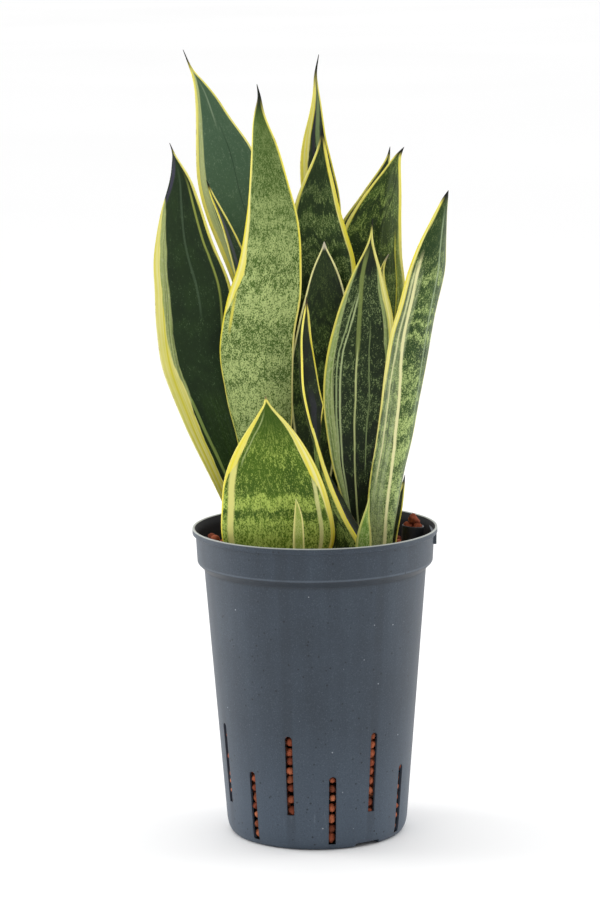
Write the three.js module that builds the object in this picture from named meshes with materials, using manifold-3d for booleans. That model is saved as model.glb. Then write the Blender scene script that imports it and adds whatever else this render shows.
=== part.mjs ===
// Variegated snake plant growing in expanded clay, in a slotted hydroculture pot.
//
// Millimetres, +Z up, the front of the plant toward -Y and its right toward +X.
// The origin is the middle of the pot's underside, on the surface that it stands on.

import * as THREE from "three";
import { mergeVertices } from "three/addons/utils/BufferGeometryUtils.js";
import Module from "manifold-3d";

const wasm = await Module();
wasm.setup();

// ---------------------------------------------------------------- sizes

// Clearance between two pieces that meet, and round what is planted in the clay.
const GAP = 0.3;
const POCKET_GAP = 0.6;

// The pot: a tapered wall on a foot ring, with a wider collar and a lip on top.
const POT_HEIGHT = 190;
const POT_WALL = 1.6;
const POT_FLOOR = 2.1;
const POT_SEGMENTS = 64;
const FOOT_RADIUS = 53.8;
const FOOT_RING_WIDTH = 8;
const FOOT_RECESS = 1.5;
const CENTRE_FOOT_RADIUS = 14;
const CORNER_HEIGHT = 8;
const WALL_RADIUS_LOW = 55.8;
const WALL_RADIUS_HIGH = 68.1;
const COLLAR_HEIGHT = 21;
const COLLAR_CHAMFER = 4;
const COLLAR_STEP = 4.1;
const COLLAR_FLARE = 0.9;
const LIP_HEIGHT = 4;
const LIP_OVERHANG = 2;
const GRIP_WIDTH = 24;
const GRIP_DROP = 7;
const GRIP_ANGLE = 92;

// Root slots through the wall, high and low in turn all round.
const SLOT_PAIRS = 7;
const SLOT_WIDTH = 4.5;
const HIGH_SLOT_ANGLE = -16.6;
const HIGH_SLOT_BOTTOM = 22;
const HIGH_SLOT_LENGTH = 50;
const LOW_SLOT_LENGTH = 43;

// Drain notches under the foot ring.
const NOTCH_COUNT = 3;
const NOTCH_ANGLE = 34.5;
const NOTCH_WIDTH = 17;
const NOTCH_HEIGHT = 2.7;

// The sleeve for a water gauge, which leans along the inside of the wall.
const SLEEVE_RADIUS = 6.8;
const SLEEVE_WALL = 1.1;
const SLEEVE_ANGLE = 97;
const SLEEVE_BELOW_LIP = 1.6;
const SLEEVE_CUP_DEPTH = 5;
const SLEEVE_TO_WALL = 0.5;

// The clay bed and the loose pebbles on it.
const CLAY_BELOW_LIP = 16;
const CLAY_CROWN = 1.5;
const PEBBLE_RADIUS = 3.6;

// The plant.
const LEAF_BURIED = 16;
const LEAF_THICKNESS_BASE = 3.2;
const LEAF_THICKNESS_TIP = 1.1;
const LEAF_EDGE = 0.55;
// How fast a blade opens from its channelled foot: 2.2 is open by 1 / 2.2 of its length.
const LEAF_OPENING = 2.2;
const RHIZOME_RADIUS = 5.5;
const ROOT_RADIUS = 1.6;
const ROOT_DEPTH = 96;

// The mouth radius that the leaf tables below are drawn for.
const DRAWN_MOUTH_RADIUS = 71.4;

// ---------------------------------------------------------------- helpers

const radians = (degrees) => (degrees * Math.PI) / 180;

// A closed three.js geometry as a manifold-3d solid.
function solidOf(geometry) {
  const bare = geometry.clone();
  bare.deleteAttribute("normal");
  bare.deleteAttribute("uv");
  const welded = mergeVertices(bare, 1e-4);
  return new wasm.Manifold(
    new wasm.Mesh({
      numProp: 3,
      vertProperties: new Float32Array(welded.attributes.position.array),
      triVerts: new Uint32Array(welded.index.array),
    }),
  );
}

function geometryOf(solid) {
  const mesh = solid.getMesh();
  const geometry = new THREE.BufferGeometry();
  geometry.setAttribute("position", new THREE.BufferAttribute(mesh.vertProperties.slice(), 3));
  geometry.setIndex(new THREE.BufferAttribute(mesh.triVerts.slice(), 1));
  geometry.computeVertexNormals();
  return geometry;
}

// A closed ring or body turned about +Z from [radius, z] points, which run
// counter-clockwise with the radius to the right.
function turned(profile, segments) {
  const points = profile.map(([radius, z]) => new THREE.Vector2(radius, z));
  return new THREE.LatheGeometry(points, segments).rotateX(Math.PI / 2);
}

// Stands a geometry drawn in the X-Y plane upright at an angle round the pot.
// The angle runs from the front, toward the right. Local Z points outward.
function facingOut(geometry, degrees, radius) {
  const angle = radians(degrees);
  const tangent = new THREE.Vector3(Math.cos(angle), Math.sin(angle), 0);
  const outward = new THREE.Vector3(Math.sin(angle), -Math.cos(angle), 0);
  const matrix = new THREE.Matrix4();
  matrix.makeBasis(tangent, new THREE.Vector3(0, 0, 1), outward);
  matrix.setPosition(outward.x * radius, outward.y * radius, 0);
  return geometry.applyMatrix4(matrix);
}

// A closed skin over rings that hold the same number of points, first those of
// the front from left to right and then those of the back from right to left.
// The first ring is closed flat, and the last one meets at the tip.
function skin(rings, tip) {
  const size = rings[0].length;
  const points = rings.flat();
  const faces = [];
  for (let i = 0; i + 1 < rings.length; i += 1) {
    for (let j = 0; j < size; j += 1) {
      const a = i * size + j;
      const b = i * size + ((j + 1) % size);
      faces.push(a, b, b + size);
      faces.push(a, b + size, a + size);
    }
  }
  for (let j = 0; j + 1 < size / 2; j += 1) {
    const opposite = size - 1 - j;
    faces.push(j, opposite, opposite - 1);
    faces.push(j, opposite - 1, j + 1);
  }
  const last = (rings.length - 1) * size;
  const top = points.length;
  points.push(tip);
  for (let j = 0; j < size; j += 1) {
    faces.push(top, last + j, last + ((j + 1) % size));
  }
  const geometry = new THREE.BufferGeometry();
  geometry.setFromPoints(points);
  geometry.setIndex(faces);
  geometry.computeVertexNormals();
  return geometry;
}

// ---------------------------------------------------------------- the pot

const floorTop = FOOT_RECESS + POT_FLOOR;
const collarFoot = POT_HEIGHT - COLLAR_HEIGHT - COLLAR_CHAMFER;
const collarRadius = WALL_RADIUS_HIGH + COLLAR_STEP;
const lipFoot = POT_HEIGHT - LIP_HEIGHT;
const lipRadius = collarRadius + COLLAR_FLARE + LIP_OVERHANG;
const mouthRadius = collarRadius + COLLAR_FLARE - POT_WALL;
const clayTop = POT_HEIGHT - CLAY_BELOW_LIP;
const wallSlope = (WALL_RADIUS_HIGH - WALL_RADIUS_LOW) / (collarFoot - CORNER_HEIGHT);
const wallInside = (z) => WALL_RADIUS_LOW - POT_WALL + wallSlope * (z - CORNER_HEIGHT);
const floorRadius = FOOT_RADIUS - POT_WALL + 0.4;

function makePot() {
  const ringInside = FOOT_RADIUS - FOOT_RING_WIDTH;
  let pot = solidOf(
    turned(
      [
        [0, 0],
        [CENTRE_FOOT_RADIUS, 0],
        [CENTRE_FOOT_RADIUS + FOOT_RECESS, FOOT_RECESS],
        [ringInside - FOOT_RECESS, FOOT_RECESS],
        [ringInside, 0],
        [FOOT_RADIUS - 1.4, 0],
        [FOOT_RADIUS + 0.2, 1.1],
        [WALL_RADIUS_LOW - 0.6, CORNER_HEIGHT * 0.5],
        [WALL_RADIUS_LOW, CORNER_HEIGHT],
        [WALL_RADIUS_HIGH, collarFoot],
        [collarRadius, collarFoot + COLLAR_CHAMFER],
        [collarRadius + COLLAR_FLARE, lipFoot],
        [lipRadius - 0.3, lipFoot + 0.4],
        [lipRadius, lipFoot + 1.2],
        [lipRadius, POT_HEIGHT - 1],
        [lipRadius - 0.8, POT_HEIGHT],
        [mouthRadius + 0.8, POT_HEIGHT],
        [mouthRadius, POT_HEIGHT - 0.8],
        [collarRadius - POT_WALL, collarFoot + COLLAR_CHAMFER + 1],
        [wallInside(collarFoot), collarFoot + 1],
        [wallInside(CORNER_HEIGHT), CORNER_HEIGHT],
        [floorRadius, floorTop],
        [0, floorTop],
      ],
      POT_SEGMENTS,
    ),
  );
  pot = pot.add(solidOf(makeGrip()));
  for (let pair = 0; pair < SLOT_PAIRS; pair += 1) {
    const step = 360 / SLOT_PAIRS;
    const high = HIGH_SLOT_ANGLE + pair * step;
    pot = pot.subtract(slotCutter(high, HIGH_SLOT_BOTTOM, HIGH_SLOT_LENGTH));
    pot = pot.subtract(slotCutter(high + step / 2, floorTop + 0.1, LOW_SLOT_LENGTH));
  }
  for (let notch = 0; notch < NOTCH_COUNT; notch += 1) {
    pot = pot.subtract(notchCutter(NOTCH_ANGLE + (notch * 360) / NOTCH_COUNT));
  }
  return geometryOf(pot);
}

// The thicker stretch of the collar where the pot is gripped.
function makeGrip() {
  const outline = new THREE.Shape();
  const half = GRIP_WIDTH / 2;
  outline.moveTo(-half, lipFoot + 1);
  outline.lineTo(-half + 2, lipFoot - GRIP_DROP);
  outline.lineTo(half - 2, lipFoot - GRIP_DROP);
  outline.lineTo(half, lipFoot + 1);
  outline.closePath();
  const inside = collarRadius - 1.2;
  const depth = lipRadius - 1.2 - inside;
  const block = new THREE.ExtrudeGeometry(outline, { depth, bevelEnabled: false });
  return facingOut(block, GRIP_ANGLE, inside);
}

// A slot with a round top and a square bottom, cut through the wall only.
function slotCutter(degrees, bottom, length) {
  const half = SLOT_WIDTH / 2;
  const outline = new THREE.Shape();
  outline.moveTo(-half, bottom);
  outline.lineTo(half, bottom);
  outline.lineTo(half, bottom + length - half);
  outline.absarc(0, bottom + length - half, half, 0, Math.PI, false);
  outline.closePath();
  const inside = floorRadius - 3;
  const cutter = new THREE.ExtrudeGeometry(outline, {
    depth: lipRadius - inside,
    bevelEnabled: false,
    curveSegments: 5,
  });
  return solidOf(facingOut(cutter, degrees, inside));
}

function notchCutter(degrees) {
  const outline = new THREE.Shape();
  const half = NOTCH_WIDTH / 2;
  outline.moveTo(-half - 1, -1);
  outline.lineTo(half + 1, -1);
  outline.lineTo(half, NOTCH_HEIGHT);
  outline.lineTo(-half, NOTCH_HEIGHT);
  outline.closePath();
  const inside = FOOT_RADIUS - FOOT_RING_WIDTH - FOOT_RECESS - 1;
  const cutter = new THREE.ExtrudeGeometry(outline, {
    depth: lipRadius - inside,
    bevelEnabled: false,
  });
  return solidOf(facingOut(cutter, degrees, inside));
}

// ---------------------------------------------------------------- the gauge sleeve

const sleeveLean = Math.atan(wallSlope);
const sleeveFoot = CORNER_HEIGHT + GAP + SLEEVE_RADIUS * Math.sin(sleeveLean);
const sleeveLength = (POT_HEIGHT - SLEEVE_BELOW_LIP - sleeveFoot) / Math.cos(sleeveLean);

// Places a geometry that stands on z = 0 in the sleeve's leaning frame.
function alongSleeve(geometry) {
  const radius = wallInside(sleeveFoot) - SLEEVE_TO_WALL - SLEEVE_RADIUS / Math.cos(sleeveLean);
  geometry.rotateX(sleeveLean);
  geometry.translate(0, -radius, sleeveFoot);
  return geometry.rotateZ(radians(SLEEVE_ANGLE));
}

function makeSleeve() {
  const inside = SLEEVE_RADIUS - SLEEVE_WALL;
  const cupFloor = sleeveLength - SLEEVE_CUP_DEPTH;
  const profile = [
    [inside, 0],
    [SLEEVE_RADIUS, 0],
    [SLEEVE_RADIUS, sleeveLength],
    [inside, sleeveLength],
    [inside, cupFloor],
    [0, cupFloor],
    [0, cupFloor - SLEEVE_WALL],
    [inside, cupFloor - SLEEVE_WALL],
    [inside, 0],
  ];
  return alongSleeve(turned(profile, 24));
}

function sleeveCutter() {
  const clear = SLEEVE_RADIUS + 2 * SLEEVE_TO_WALL;
  const profile = [
    [0, -3 * GAP],
    [clear, -3 * GAP],
    [clear, sleeveLength],
    [0, sleeveLength],
  ];
  return solidOf(alongSleeve(turned(profile, 24)));
}

// ---------------------------------------------------------------- the leaves

// Each leaf is drawn by rows from its foot to its tip: height above the clay,
// the midrib's x and y, and the width across the margins. turn is the angle
// from the front that the face is turned to, at the foot and at the tip. cup is
// how far the margins stand forward of the midrib, as a share of the width.
const LEAVES = {
  leaf_far_left: {
    turn: [10, 22],
    cup: [0.34, 0.12],
    rows: [
      [-16, -33, -4, 12.5],
      [8, -37, -4, 20],
      [40, -45, -2, 32],
      [76, -57, 0, 43],
      [125, -71.5, 4, 49],
      [160, -74, 8, 48.5],
      [187, -79, 10, 38],
      [203, -80, 11, 29.5],
      [217, -80, 12, 21],
      [228, -80, 13, 13.5],
      [237, -82, 14, 6],
      [243, -83.5, 15, 1.6],
      [250, -86, 16, 0.8],
    ],
  },
  leaf_tall_back_left: {
    turn: [4, 8],
    cup: [0.34, 0.1],
    rows: [
      [-16, -18, 18, 11],
      [6, -18, 18, 17],
      [50, -16, 20, 26],
      [90, -18, 22, 33],
      [134, -24, 24, 36],
      [163, -30, 26, 38],
      [187, -38, 29, 41],
      [218, -48, 32, 42],
      [246, -54, 35, 34],
      [263, -60, 38, 21],
      [274, -63.5, 39, 14.5],
      [285, -68, 40, 7],
      [291, -72, 41, 2.2],
      [305, -78, 43, 0.8],
    ],
  },
  leaf_tall_front_left: {
    turn: [-6, -12],
    cup: [-0.34, -0.08],
    rows: [
      [-16, -24, -17, 10],
      [10, -26, -17, 17.5],
      [69, -31, -15, 32.5],
      [96, -33.5, -14, 40],
      [128, -35, -13, 45],
      [156, -30.5, -12, 44.5],
      [180, -26, -11, 37.5],
      [206, -24.5, -10, 31.5],
      [225, -26, -9, 24],
      [250, -28.5, -8, 15.5],
      [269, -31.5, -7, 6],
      [277, -31, -6, 2.2],
      [286, -32.5, -5, 0.8],
    ],
  },
  leaf_tall_back_middle: {
    turn: [6, -14],
    cup: [0.4, 0.2],
    rows: [
      [-16, 0, 25, 8.5],
      [6, 0, 26.5, 12.5],
      [90, 1, 34, 19.5],
      [151, 4.5, 38, 24],
      [188, 6, 41, 26],
      [214, 6, 43, 23.5],
      [235, 3.5, 45, 20],
      [250, 2.5, 47, 14],
      [264, 3.3, 48, 8.5],
      [277, 3.5, 49, 4],
      [287, 2.8, 50, 1.8],
      [301, 5, 51, 0.8],
    ],
  },
  leaf_middle: {
    turn: [-4, -8],
    cup: [0.34, 0.08],
    rows: [
      [-16, 4, 7, 9],
      [6, 5, 7, 15.5],
      [68, 5, 7, 27.5],
      [129, 6.5, 8, 39],
      [179, 6, 10, 40],
      [196, 4, 11, 34],
      [212, 3, 12, 27],
      [226, 4, 13, 18.5],
      [236, 5, 14, 11],
      [244, 6, 15, 6.3],
      [252, 6.4, 16, 2.4],
      [260, 6.6, 17, 0.8],
    ],
  },
  leaf_back_right: {
    turn: [-6, -14],
    cup: [0.36, 0.18],
    rows: [
      [-16, 30, 14, 9.5],
      [6, 31, 15, 16.5],
      [66, 32.5, 19, 32],
      [122, 34, 23.5, 43],
      [163, 36, 26.5, 44.5],
      [179, 36, 27.5, 41],
      [198, 38.5, 28.5, 34.5],
      [210, 42, 29.5, 27.5],
      [219, 45, 30.5, 21],
      [228, 48.5, 31.5, 13],
      [239, 52.5, 32.5, 4.5],
      [245, 56.5, 33.5, 0.9],
    ],
  },
  leaf_behind_right: {
    turn: [-8, -18],
    cup: [0.36, 0.12],
    rows: [
      [-16, 26, 31, 9.5],
      [6, 26.5, 31, 15.5],
      [64, 30, 36, 29],
      [120, 31, 40, 38.5],
      [161, 32, 43, 40.5],
      [197, 34.5, 46, 33],
      [212, 39, 47, 20],
      [222, 42, 48, 12.5],
      [230, 45, 49, 6.5],
      [238, 47.5, 50, 1.9],
      [244, 48.5, 51, 0.9],
    ],
  },
  leaf_far_right: {
    turn: [18, 32],
    cup: [-0.3, -0.2],
    rows: [
      [-16, 39.5, -21, 10],
      [11, 41, -22.5, 16],
      [33, 43, -24.5, 20],
      [73, 50, -27, 23.5],
      [102, 55, -29, 26],
      [130, 59.5, -31, 28],
      [155, 65, -32, 26.5],
      [177, 70.5, -33, 25.5],
      [189, 72.5, -33.5, 20.5],
      [201, 75, -34, 14],
      [211, 77, -34.5, 8.5],
      [219, 79, -35, 4],
      [224, 80.5, -35, 0.9],
    ],
  },
  leaf_front_right: {
    turn: [0, 6],
    cup: [0.34, 0.14],
    rows: [
      [-16, 28, -9, 9],
      [9, 28, -9, 14],
      [34, 27, -10, 20.5],
      [56, 26, -11, 30.5],
      [83, 25.5, -12, 38],
      [108, 26.5, -13, 42],
      [126, 28.5, -14, 41],
      [142, 30, -14, 36.5],
      [159, 31, -15, 26.5],
      [171, 32, -15, 19],
      [179, 33, -16, 13],
      [186, 34, -16, 6.5],
      [195, 35, -17, 1.6],
      [206, 36, -17, 0.8],
    ],
  },
  leaf_short_middle: {
    turn: [4, 10],
    cup: [0.34, 0.1],
    rows: [
      [-16, -3, -5, 8],
      [8, -2.5, -5, 13.5],
      [45, 0, -4, 18.5],
      [78, 1.5, -3, 28.5],
      [107, 2.5, -3, 35],
      [125, 4.7, -3, 35.5],
      [138, 6.2, -3, 33],
      [157, 7, -3, 25],
      [173, 7, -3, 16],
      [180, 7, -3, 9.7],
      [186, 7, -3, 3.6],
      [191, 7, -3, 0.9],
    ],
  },
  leaf_folded: {
    turn: [60, 60],
    cup: [0.55, 0.34],
    rows: [
      [-16, 27, -30, 12],
      [9, 25, -30, 18],
      [29, 15.5, -27.5, 21],
      [49, 8, -26.5, 22],
      [73, 1, -26, 21],
      [109, -7, -26.5, 17],
      [132, -7.5, -28, 12],
      [146, -6, -30, 7],
      [154, -4.6, -31.5, 2.6],
      [161, -4, -32.5, 0.9],
    ],
  },
  leaf_front_broad: {
    turn: [0, 0],
    cup: [-0.2, -0.08],
    rows: [
      [-16, -22, -44, 34],
      [2, -22, -45, 58],
      [15, -22, -46, 68],
      [32, -23, -46.5, 66],
      [45, -24.3, -47.5, 62],
      [55, -25.3, -47, 56],
      [71, -26, -46, 42],
      [87, -26.6, -45, 20.6],
      [93, -27.6, -45, 10.8],
      [98, -28.2, -44, 3.4],
      [103, -29, -43, 0.9],
    ],
  },
  leaf_small_behind: {
    turn: [-10, -20],
    cup: [0.36, 0.2],
    rows: [
      [-16, 36, 4, 7],
      [6, 38, 3, 10],
      [68, 41, 3, 18],
      [118, 42, 2, 21],
      [142, 41.5, 1, 17],
      [152, 41.5, 1, 13],
      [165, 41, 0, 6.7],
      [173, 42, 0, 2.4],
      [178, 43.5, -0.5, 1.4],
      [183, 46, -1, 0.9],
    ],
  },
  leaf_small_right: {
    turn: [20, 20],
    cup: [0.36, 0.2],
    rows: [
      [-16, 43, -6, 6],
      [10, 45, -6, 9],
      [25, 48, -6, 9],
      [36, 51.5, -6, 5],
      [43, 54, -6, 1.6],
      [48, 55, -6, 0.8],
    ],
  },
  leaf_narrow_left: {
    turn: [10, 20],
    cup: [0.4, 0.24],
    rows: [
      [-16, -12, 4, 6],
      [10, -14, 5, 9],
      [76, -24, 9, 13],
      [125, -33, 12, 13],
      [171, -43, 15, 11],
      [187, -48, 16, 8.5],
      [204, -54.5, 17, 5],
      [218, -61, 18, 2.5],
      [227, -64, 18.5, 0.8],
    ],
  },
  pup_front: {
    turn: [0, 0],
    cup: [0.36, 0.2],
    rows: [
      [-14, -10, -55, 5],
      [14, -10, -56, 6.6],
      [31, -10, -56, 5],
      [38, -10.6, -56, 2.6],
      [43, -11.4, -56, 0.7],
    ],
  },
  pup_right: {
    turn: [0, 0],
    cup: [0.36, 0.2],
    rows: [
      [-14, 29, -48, 6],
      [13, 28.6, -49, 9.5],
      [20, 29.2, -49, 8.4],
      [29, 30, -49.5, 4.4],
      [37, 31.5, -50, 1.6],
      [44, 32.7, -50, 0.7],
    ],
  },
};

// Places across the blade, from the left margin to the right one.
const ACROSS = [-1, -0.55, 0, 0.55, 1];

const spread = mouthRadius / DRAWN_MOUTH_RADIUS;

// The blade as a closed skin. grow adds a clearance all round, for a pocket.
function makeLeaf({ turn, cup, rows }, grow = 0) {
  const low = rows[0][0];
  const high = rows[rows.length - 1][0];
  const rings = rows.slice(0, -1).map(([height, x, y, width], index) => {
    const along = (height - low) / (high - low);
    const angle = radians(THREE.MathUtils.lerp(turn[0], turn[1], along));
    const side = new THREE.Vector3(Math.cos(angle), Math.sin(angle), 0);
    const face = new THREE.Vector3(Math.sin(angle), -Math.cos(angle), 0);
    const half = (width * spread) / 2;
    const opened = Math.min(1, along * LEAF_OPENING);
    const depth = THREE.MathUtils.lerp(cup[0], cup[1], opened) * width * spread;
    const thick = THREE.MathUtils.lerp(LEAF_THICKNESS_BASE, LEAF_THICKNESS_TIP, along);
    const thin = Math.min(1, 0.35 + width / 8);
    const drop = index === 0 ? grow : 0;
    const centre = new THREE.Vector3(x * spread, y * spread, clayTop + height - drop);
    const middle = (across) =>
      centre
        .clone()
        .addScaledVector(side, half * across)
        .addScaledVector(face, depth * across * across);
    const at = (place, sign) => {
      const across = ACROSS[place];
      const point = middle(across);
      if (Math.abs(across) === 1) {
        const inner = middle(across * ACROSS[ACROSS.length - 2]);
        point.addScaledVector(point.clone().sub(inner).normalize(), grow);
      }
      const bend = Math.hypot(1, (2 * depth * across) / half);
      const body = (THREE.MathUtils.lerp(thick, LEAF_EDGE, across * across) * thin) / 2;
      return point.addScaledVector(face, sign * (body + grow * bend));
    };
    const places = ACROSS.map((across, place) => place);
    const front = places.map((place) => at(place, 1));
    const back = places.reverse().map((place) => at(place, -1));
    return [...front, ...back];
  });
  const [height, x, y] = rows[rows.length - 1];
  const tip = new THREE.Vector3(x * spread, y * spread, clayTop + height);
  return skin(rings, tip);
}

// ---------------------------------------------------------------- the rhizome

// Underground stems that the leaves rise from, as [x, y] points on the level
// of their middles. Each one runs under a row of leaf feet.
const STEMS = [
  [[-17, 22], [-22, 4], [-25, -16], [-20, -48]],
  [[0, 28], [3, 10], [-3, -8]],
  [[26, 34], [31, 12], [28, -10], [28, -49]],
  [[-24, -12], [-3, -7], [28, -9], [44, -8]],
  [[-34, -4], [-22, 2], [-12, 4]],
  [[-20, -44], [-10, -54]],
  [[27, -12], [40, -21]],
  [[28, 8], [37, 3]],
];

// Roots, as the [x, y] they start from and the [x, y] they end at.
const ROOTS = [
  [[-22, 4], [-36, 12]],
  [[-22, -36], [-30, -22]],
  [[0, 12], [-4, 34]],
  [[28, -30], [20, -38]],
  [[30, 10], [22, 24]],
  [[10, -8], [4, -12]],
];

const rhizomeLevel = clayTop - LEAF_BURIED - RHIZOME_RADIUS - 2 * GAP;

// A round rod through points, with each end carried on by the clearance.
function rope(points, radius, steps, grow) {
  const [first, second] = points;
  const [before, last] = points.slice(-2);
  first.addScaledVector(first.clone().sub(second).normalize(), grow);
  last.addScaledVector(last.clone().sub(before).normalize(), grow);
  const outline = new THREE.Shape();
  for (let corner = 0; corner < 8; corner += 1) {
    const angle = (corner * Math.PI) / 4;
    const x = (radius + grow) * Math.cos(angle);
    const y = (radius + grow) * Math.sin(angle);
    if (corner === 0) outline.moveTo(x, y);
    else outline.lineTo(x, y);
  }
  outline.closePath();
  const extrudePath = new THREE.CatmullRomCurve3(points);
  return solidOf(new THREE.ExtrudeGeometry(outline, { steps, extrudePath, bevelEnabled: false }));
}

function makeRhizome(grow = 0) {
  let rhizome;
  for (const stem of STEMS) {
    const points = stem.map(([x, y]) => new THREE.Vector3(x * spread, y * spread, rhizomeLevel));
    const piece = rope(points, RHIZOME_RADIUS, 2 * stem.length, grow);
    rhizome = rhizome ? rhizome.add(piece) : piece;
  }
  for (const [start, end] of ROOTS) {
    const bottom = rhizomeLevel - ROOT_DEPTH;
    const middle = [(start[0] + 2 * end[0]) / 3, (start[1] + 2 * end[1]) / 3];
    const points = [
      new THREE.Vector3(start[0] * spread, start[1] * spread, rhizomeLevel),
      new THREE.Vector3(middle[0] * spread, middle[1] * spread, (rhizomeLevel + bottom) / 2),
      new THREE.Vector3(end[0] * spread, end[1] * spread, bottom),
    ];
    rhizome = rhizome.add(rope(points, ROOT_RADIUS, 5, grow));
  }
  return rhizome;
}

// ---------------------------------------------------------------- the clay

function makeClayBed() {
  const shelf = collarFoot + COLLAR_CHAMFER + 1;
  let clay = solidOf(
    turned(
      [
        [0, floorTop + GAP],
        [floorRadius - 2 * GAP, floorTop + GAP],
        [wallInside(CORNER_HEIGHT) - GAP, CORNER_HEIGHT],
        [wallInside(collarFoot) - GAP, collarFoot + 1 + GAP],
        [collarRadius - POT_WALL - GAP - 0.4, shelf + GAP],
        [collarRadius - POT_WALL - 1, clayTop - 1],
        [collarRadius - POT_WALL - 3, clayTop],
        [0, clayTop + CLAY_CROWN],
      ],
      48,
    ),
  );
  clay = clay.subtract(sleeveCutter());
  clay = clay.subtract(makeRhizome(POCKET_GAP));
  for (const leaf of Object.values(LEAVES)) {
    clay = clay.subtract(solidOf(makeLeaf(leaf, POCKET_GAP)));
  }
  return geometryOf(clay);
}

// Loose pebbles on the bed beside the wall, as the angle round the pot, the
// distance in from the mouth, the height above the clay and the size. The
// distance and the size follow the width of the mouth.
const LOOSE_PEBBLES = [
  [-96, 7.5, 4.3, 1],
  [-88, 6.5, 4.2, 0.96],
  [-80, 7, 4.4, 1.04],
  [-72, 7.5, 4.1, 0.95],
  [-84, 8.5, 10.6, 0.9],
  [-76, 9, 10.7, 0.94],
  [104, 24.5, 4.6, 1.05],
  [82, 10.5, 4.3, 1],
];

// Pebbles in the cup at the top of the gauge sleeve, as x and y from its middle,
// the height above its rim and the size.
const CUP_PEBBLES = [
  [-2.4, -1.6, -1.4, 0.66],
  [2.5, -1.4, -1.3, 0.66],
  [0, 2.9, -1.4, 0.66],
  [0, 0, 2.75, 0.74],
];

// A fired clay pebble: a slightly flattened, knobbly ball.
function makePebble(radius, seed) {
  const ball = mergeVertices(new THREE.IcosahedronGeometry(radius, 1).deleteAttribute("normal").deleteAttribute("uv"));
  const position = ball.attributes.position;
  const point = new THREE.Vector3();
  for (let i = 0; i < position.count; i += 1) {
    point.fromBufferAttribute(position, i);
    const knob = 1 - 0.07 * (1 + Math.sin(2.3 * point.x + seed) * Math.cos(1.9 * point.y - seed));
    position.setXYZ(i, point.x * knob, point.y * knob * 0.94, point.z * knob * 0.9);
  }
  return ball.rotateZ(seed);
}

// ---------------------------------------------------------------- assembly

const plant = new THREE.Group();
plant.name = "potted_snake_plant";

const blackPlastic = { color: 0x1b1d20, roughness: 0.5, metalness: 0 };
const slatePlastic = { color: 0x4a515c, roughness: 0.55, metalness: 0 };
const firedClay = { color: 0x8a4a34, roughness: 0.95, metalness: 0 };
const greenLeaf = { color: 0x3f5f2c, roughness: 0.45, metalness: 0 };
const paleLeaf = { color: 0x9fb45a, roughness: 0.45, metalness: 0 };
const rhizomeSkin = { color: 0xc08a4a, roughness: 0.7, metalness: 0 };

function place(name, geometry, look) {
  const mesh = new THREE.Mesh(geometry, new THREE.MeshStandardMaterial(look));
  mesh.name = name;
  plant.add(mesh);
  return mesh;
}

place("pot", makePot(), slatePlastic);
place("gauge_sleeve", makeSleeve(), blackPlastic);
place("clay_bed", makeClayBed(), firedClay);
place("rhizome", geometryOf(makeRhizome()), rhizomeSkin);

for (const [name, leaf] of Object.entries(LEAVES)) {
  place(name, makeLeaf(leaf), name.startsWith("pup") ? paleLeaf : greenLeaf);
}

LOOSE_PEBBLES.forEach(([degrees, inward, height, size], index) => {
  const angle = radians(degrees);
  const radius = mouthRadius - inward * spread;
  const pebble = makePebble(PEBBLE_RADIUS * size * spread, index + 1);
  const mesh = place(`clay_pebble_${index + 1}`, pebble, firedClay);
  mesh.position.set(radius * Math.sin(angle), -radius * Math.cos(angle), clayTop + height);
});

CUP_PEBBLES.forEach(([x, y, height, size], index) => {
  const pebble = makePebble(PEBBLE_RADIUS * size, index + 9);
  pebble.translate(x, y, sleeveLength + height);
  place(`gauge_pebble_${index + 1}`, alongSleeve(pebble), firedClay);
});

export default plant;
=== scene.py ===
"""Looks of the potted snake plant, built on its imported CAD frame. Metres, +Z up."""

import math

import bmesh
import bpy
import numpy as np
from mathutils import Euler, Matrix, Vector, noise


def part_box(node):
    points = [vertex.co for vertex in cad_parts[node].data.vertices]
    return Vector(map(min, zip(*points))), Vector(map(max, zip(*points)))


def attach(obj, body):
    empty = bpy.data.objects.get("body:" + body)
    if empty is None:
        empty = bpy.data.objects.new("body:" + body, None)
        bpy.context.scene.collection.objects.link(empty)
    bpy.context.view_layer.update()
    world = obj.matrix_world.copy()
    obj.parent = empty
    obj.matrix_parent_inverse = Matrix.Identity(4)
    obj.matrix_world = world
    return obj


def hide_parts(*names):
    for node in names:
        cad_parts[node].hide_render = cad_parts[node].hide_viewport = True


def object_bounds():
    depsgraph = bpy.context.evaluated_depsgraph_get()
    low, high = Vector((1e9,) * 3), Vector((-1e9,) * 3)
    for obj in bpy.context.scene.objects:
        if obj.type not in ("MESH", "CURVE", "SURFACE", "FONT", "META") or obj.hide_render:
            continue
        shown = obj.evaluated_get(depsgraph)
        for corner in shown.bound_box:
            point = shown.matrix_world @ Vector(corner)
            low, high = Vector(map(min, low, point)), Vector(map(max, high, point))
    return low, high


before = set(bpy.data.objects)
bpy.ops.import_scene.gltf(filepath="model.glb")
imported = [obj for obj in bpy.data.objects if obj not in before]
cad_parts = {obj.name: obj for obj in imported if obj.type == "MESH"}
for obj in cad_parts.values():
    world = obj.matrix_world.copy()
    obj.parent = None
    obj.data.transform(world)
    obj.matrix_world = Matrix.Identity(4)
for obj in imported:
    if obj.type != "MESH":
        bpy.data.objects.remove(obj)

cad_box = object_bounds()
MM = 0.001
scene = bpy.context.scene


# ------------------------------------------------------------------ meshes

def points_of(node):
    """A CAD node's vertices in millimetres, each place once."""
    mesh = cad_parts[node].data
    co = np.zeros(len(mesh.vertices) * 3)
    mesh.vertices.foreach_get("co", co)
    return np.unique(np.round(co.reshape(-1, 3) / MM, 3), axis=0)


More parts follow.
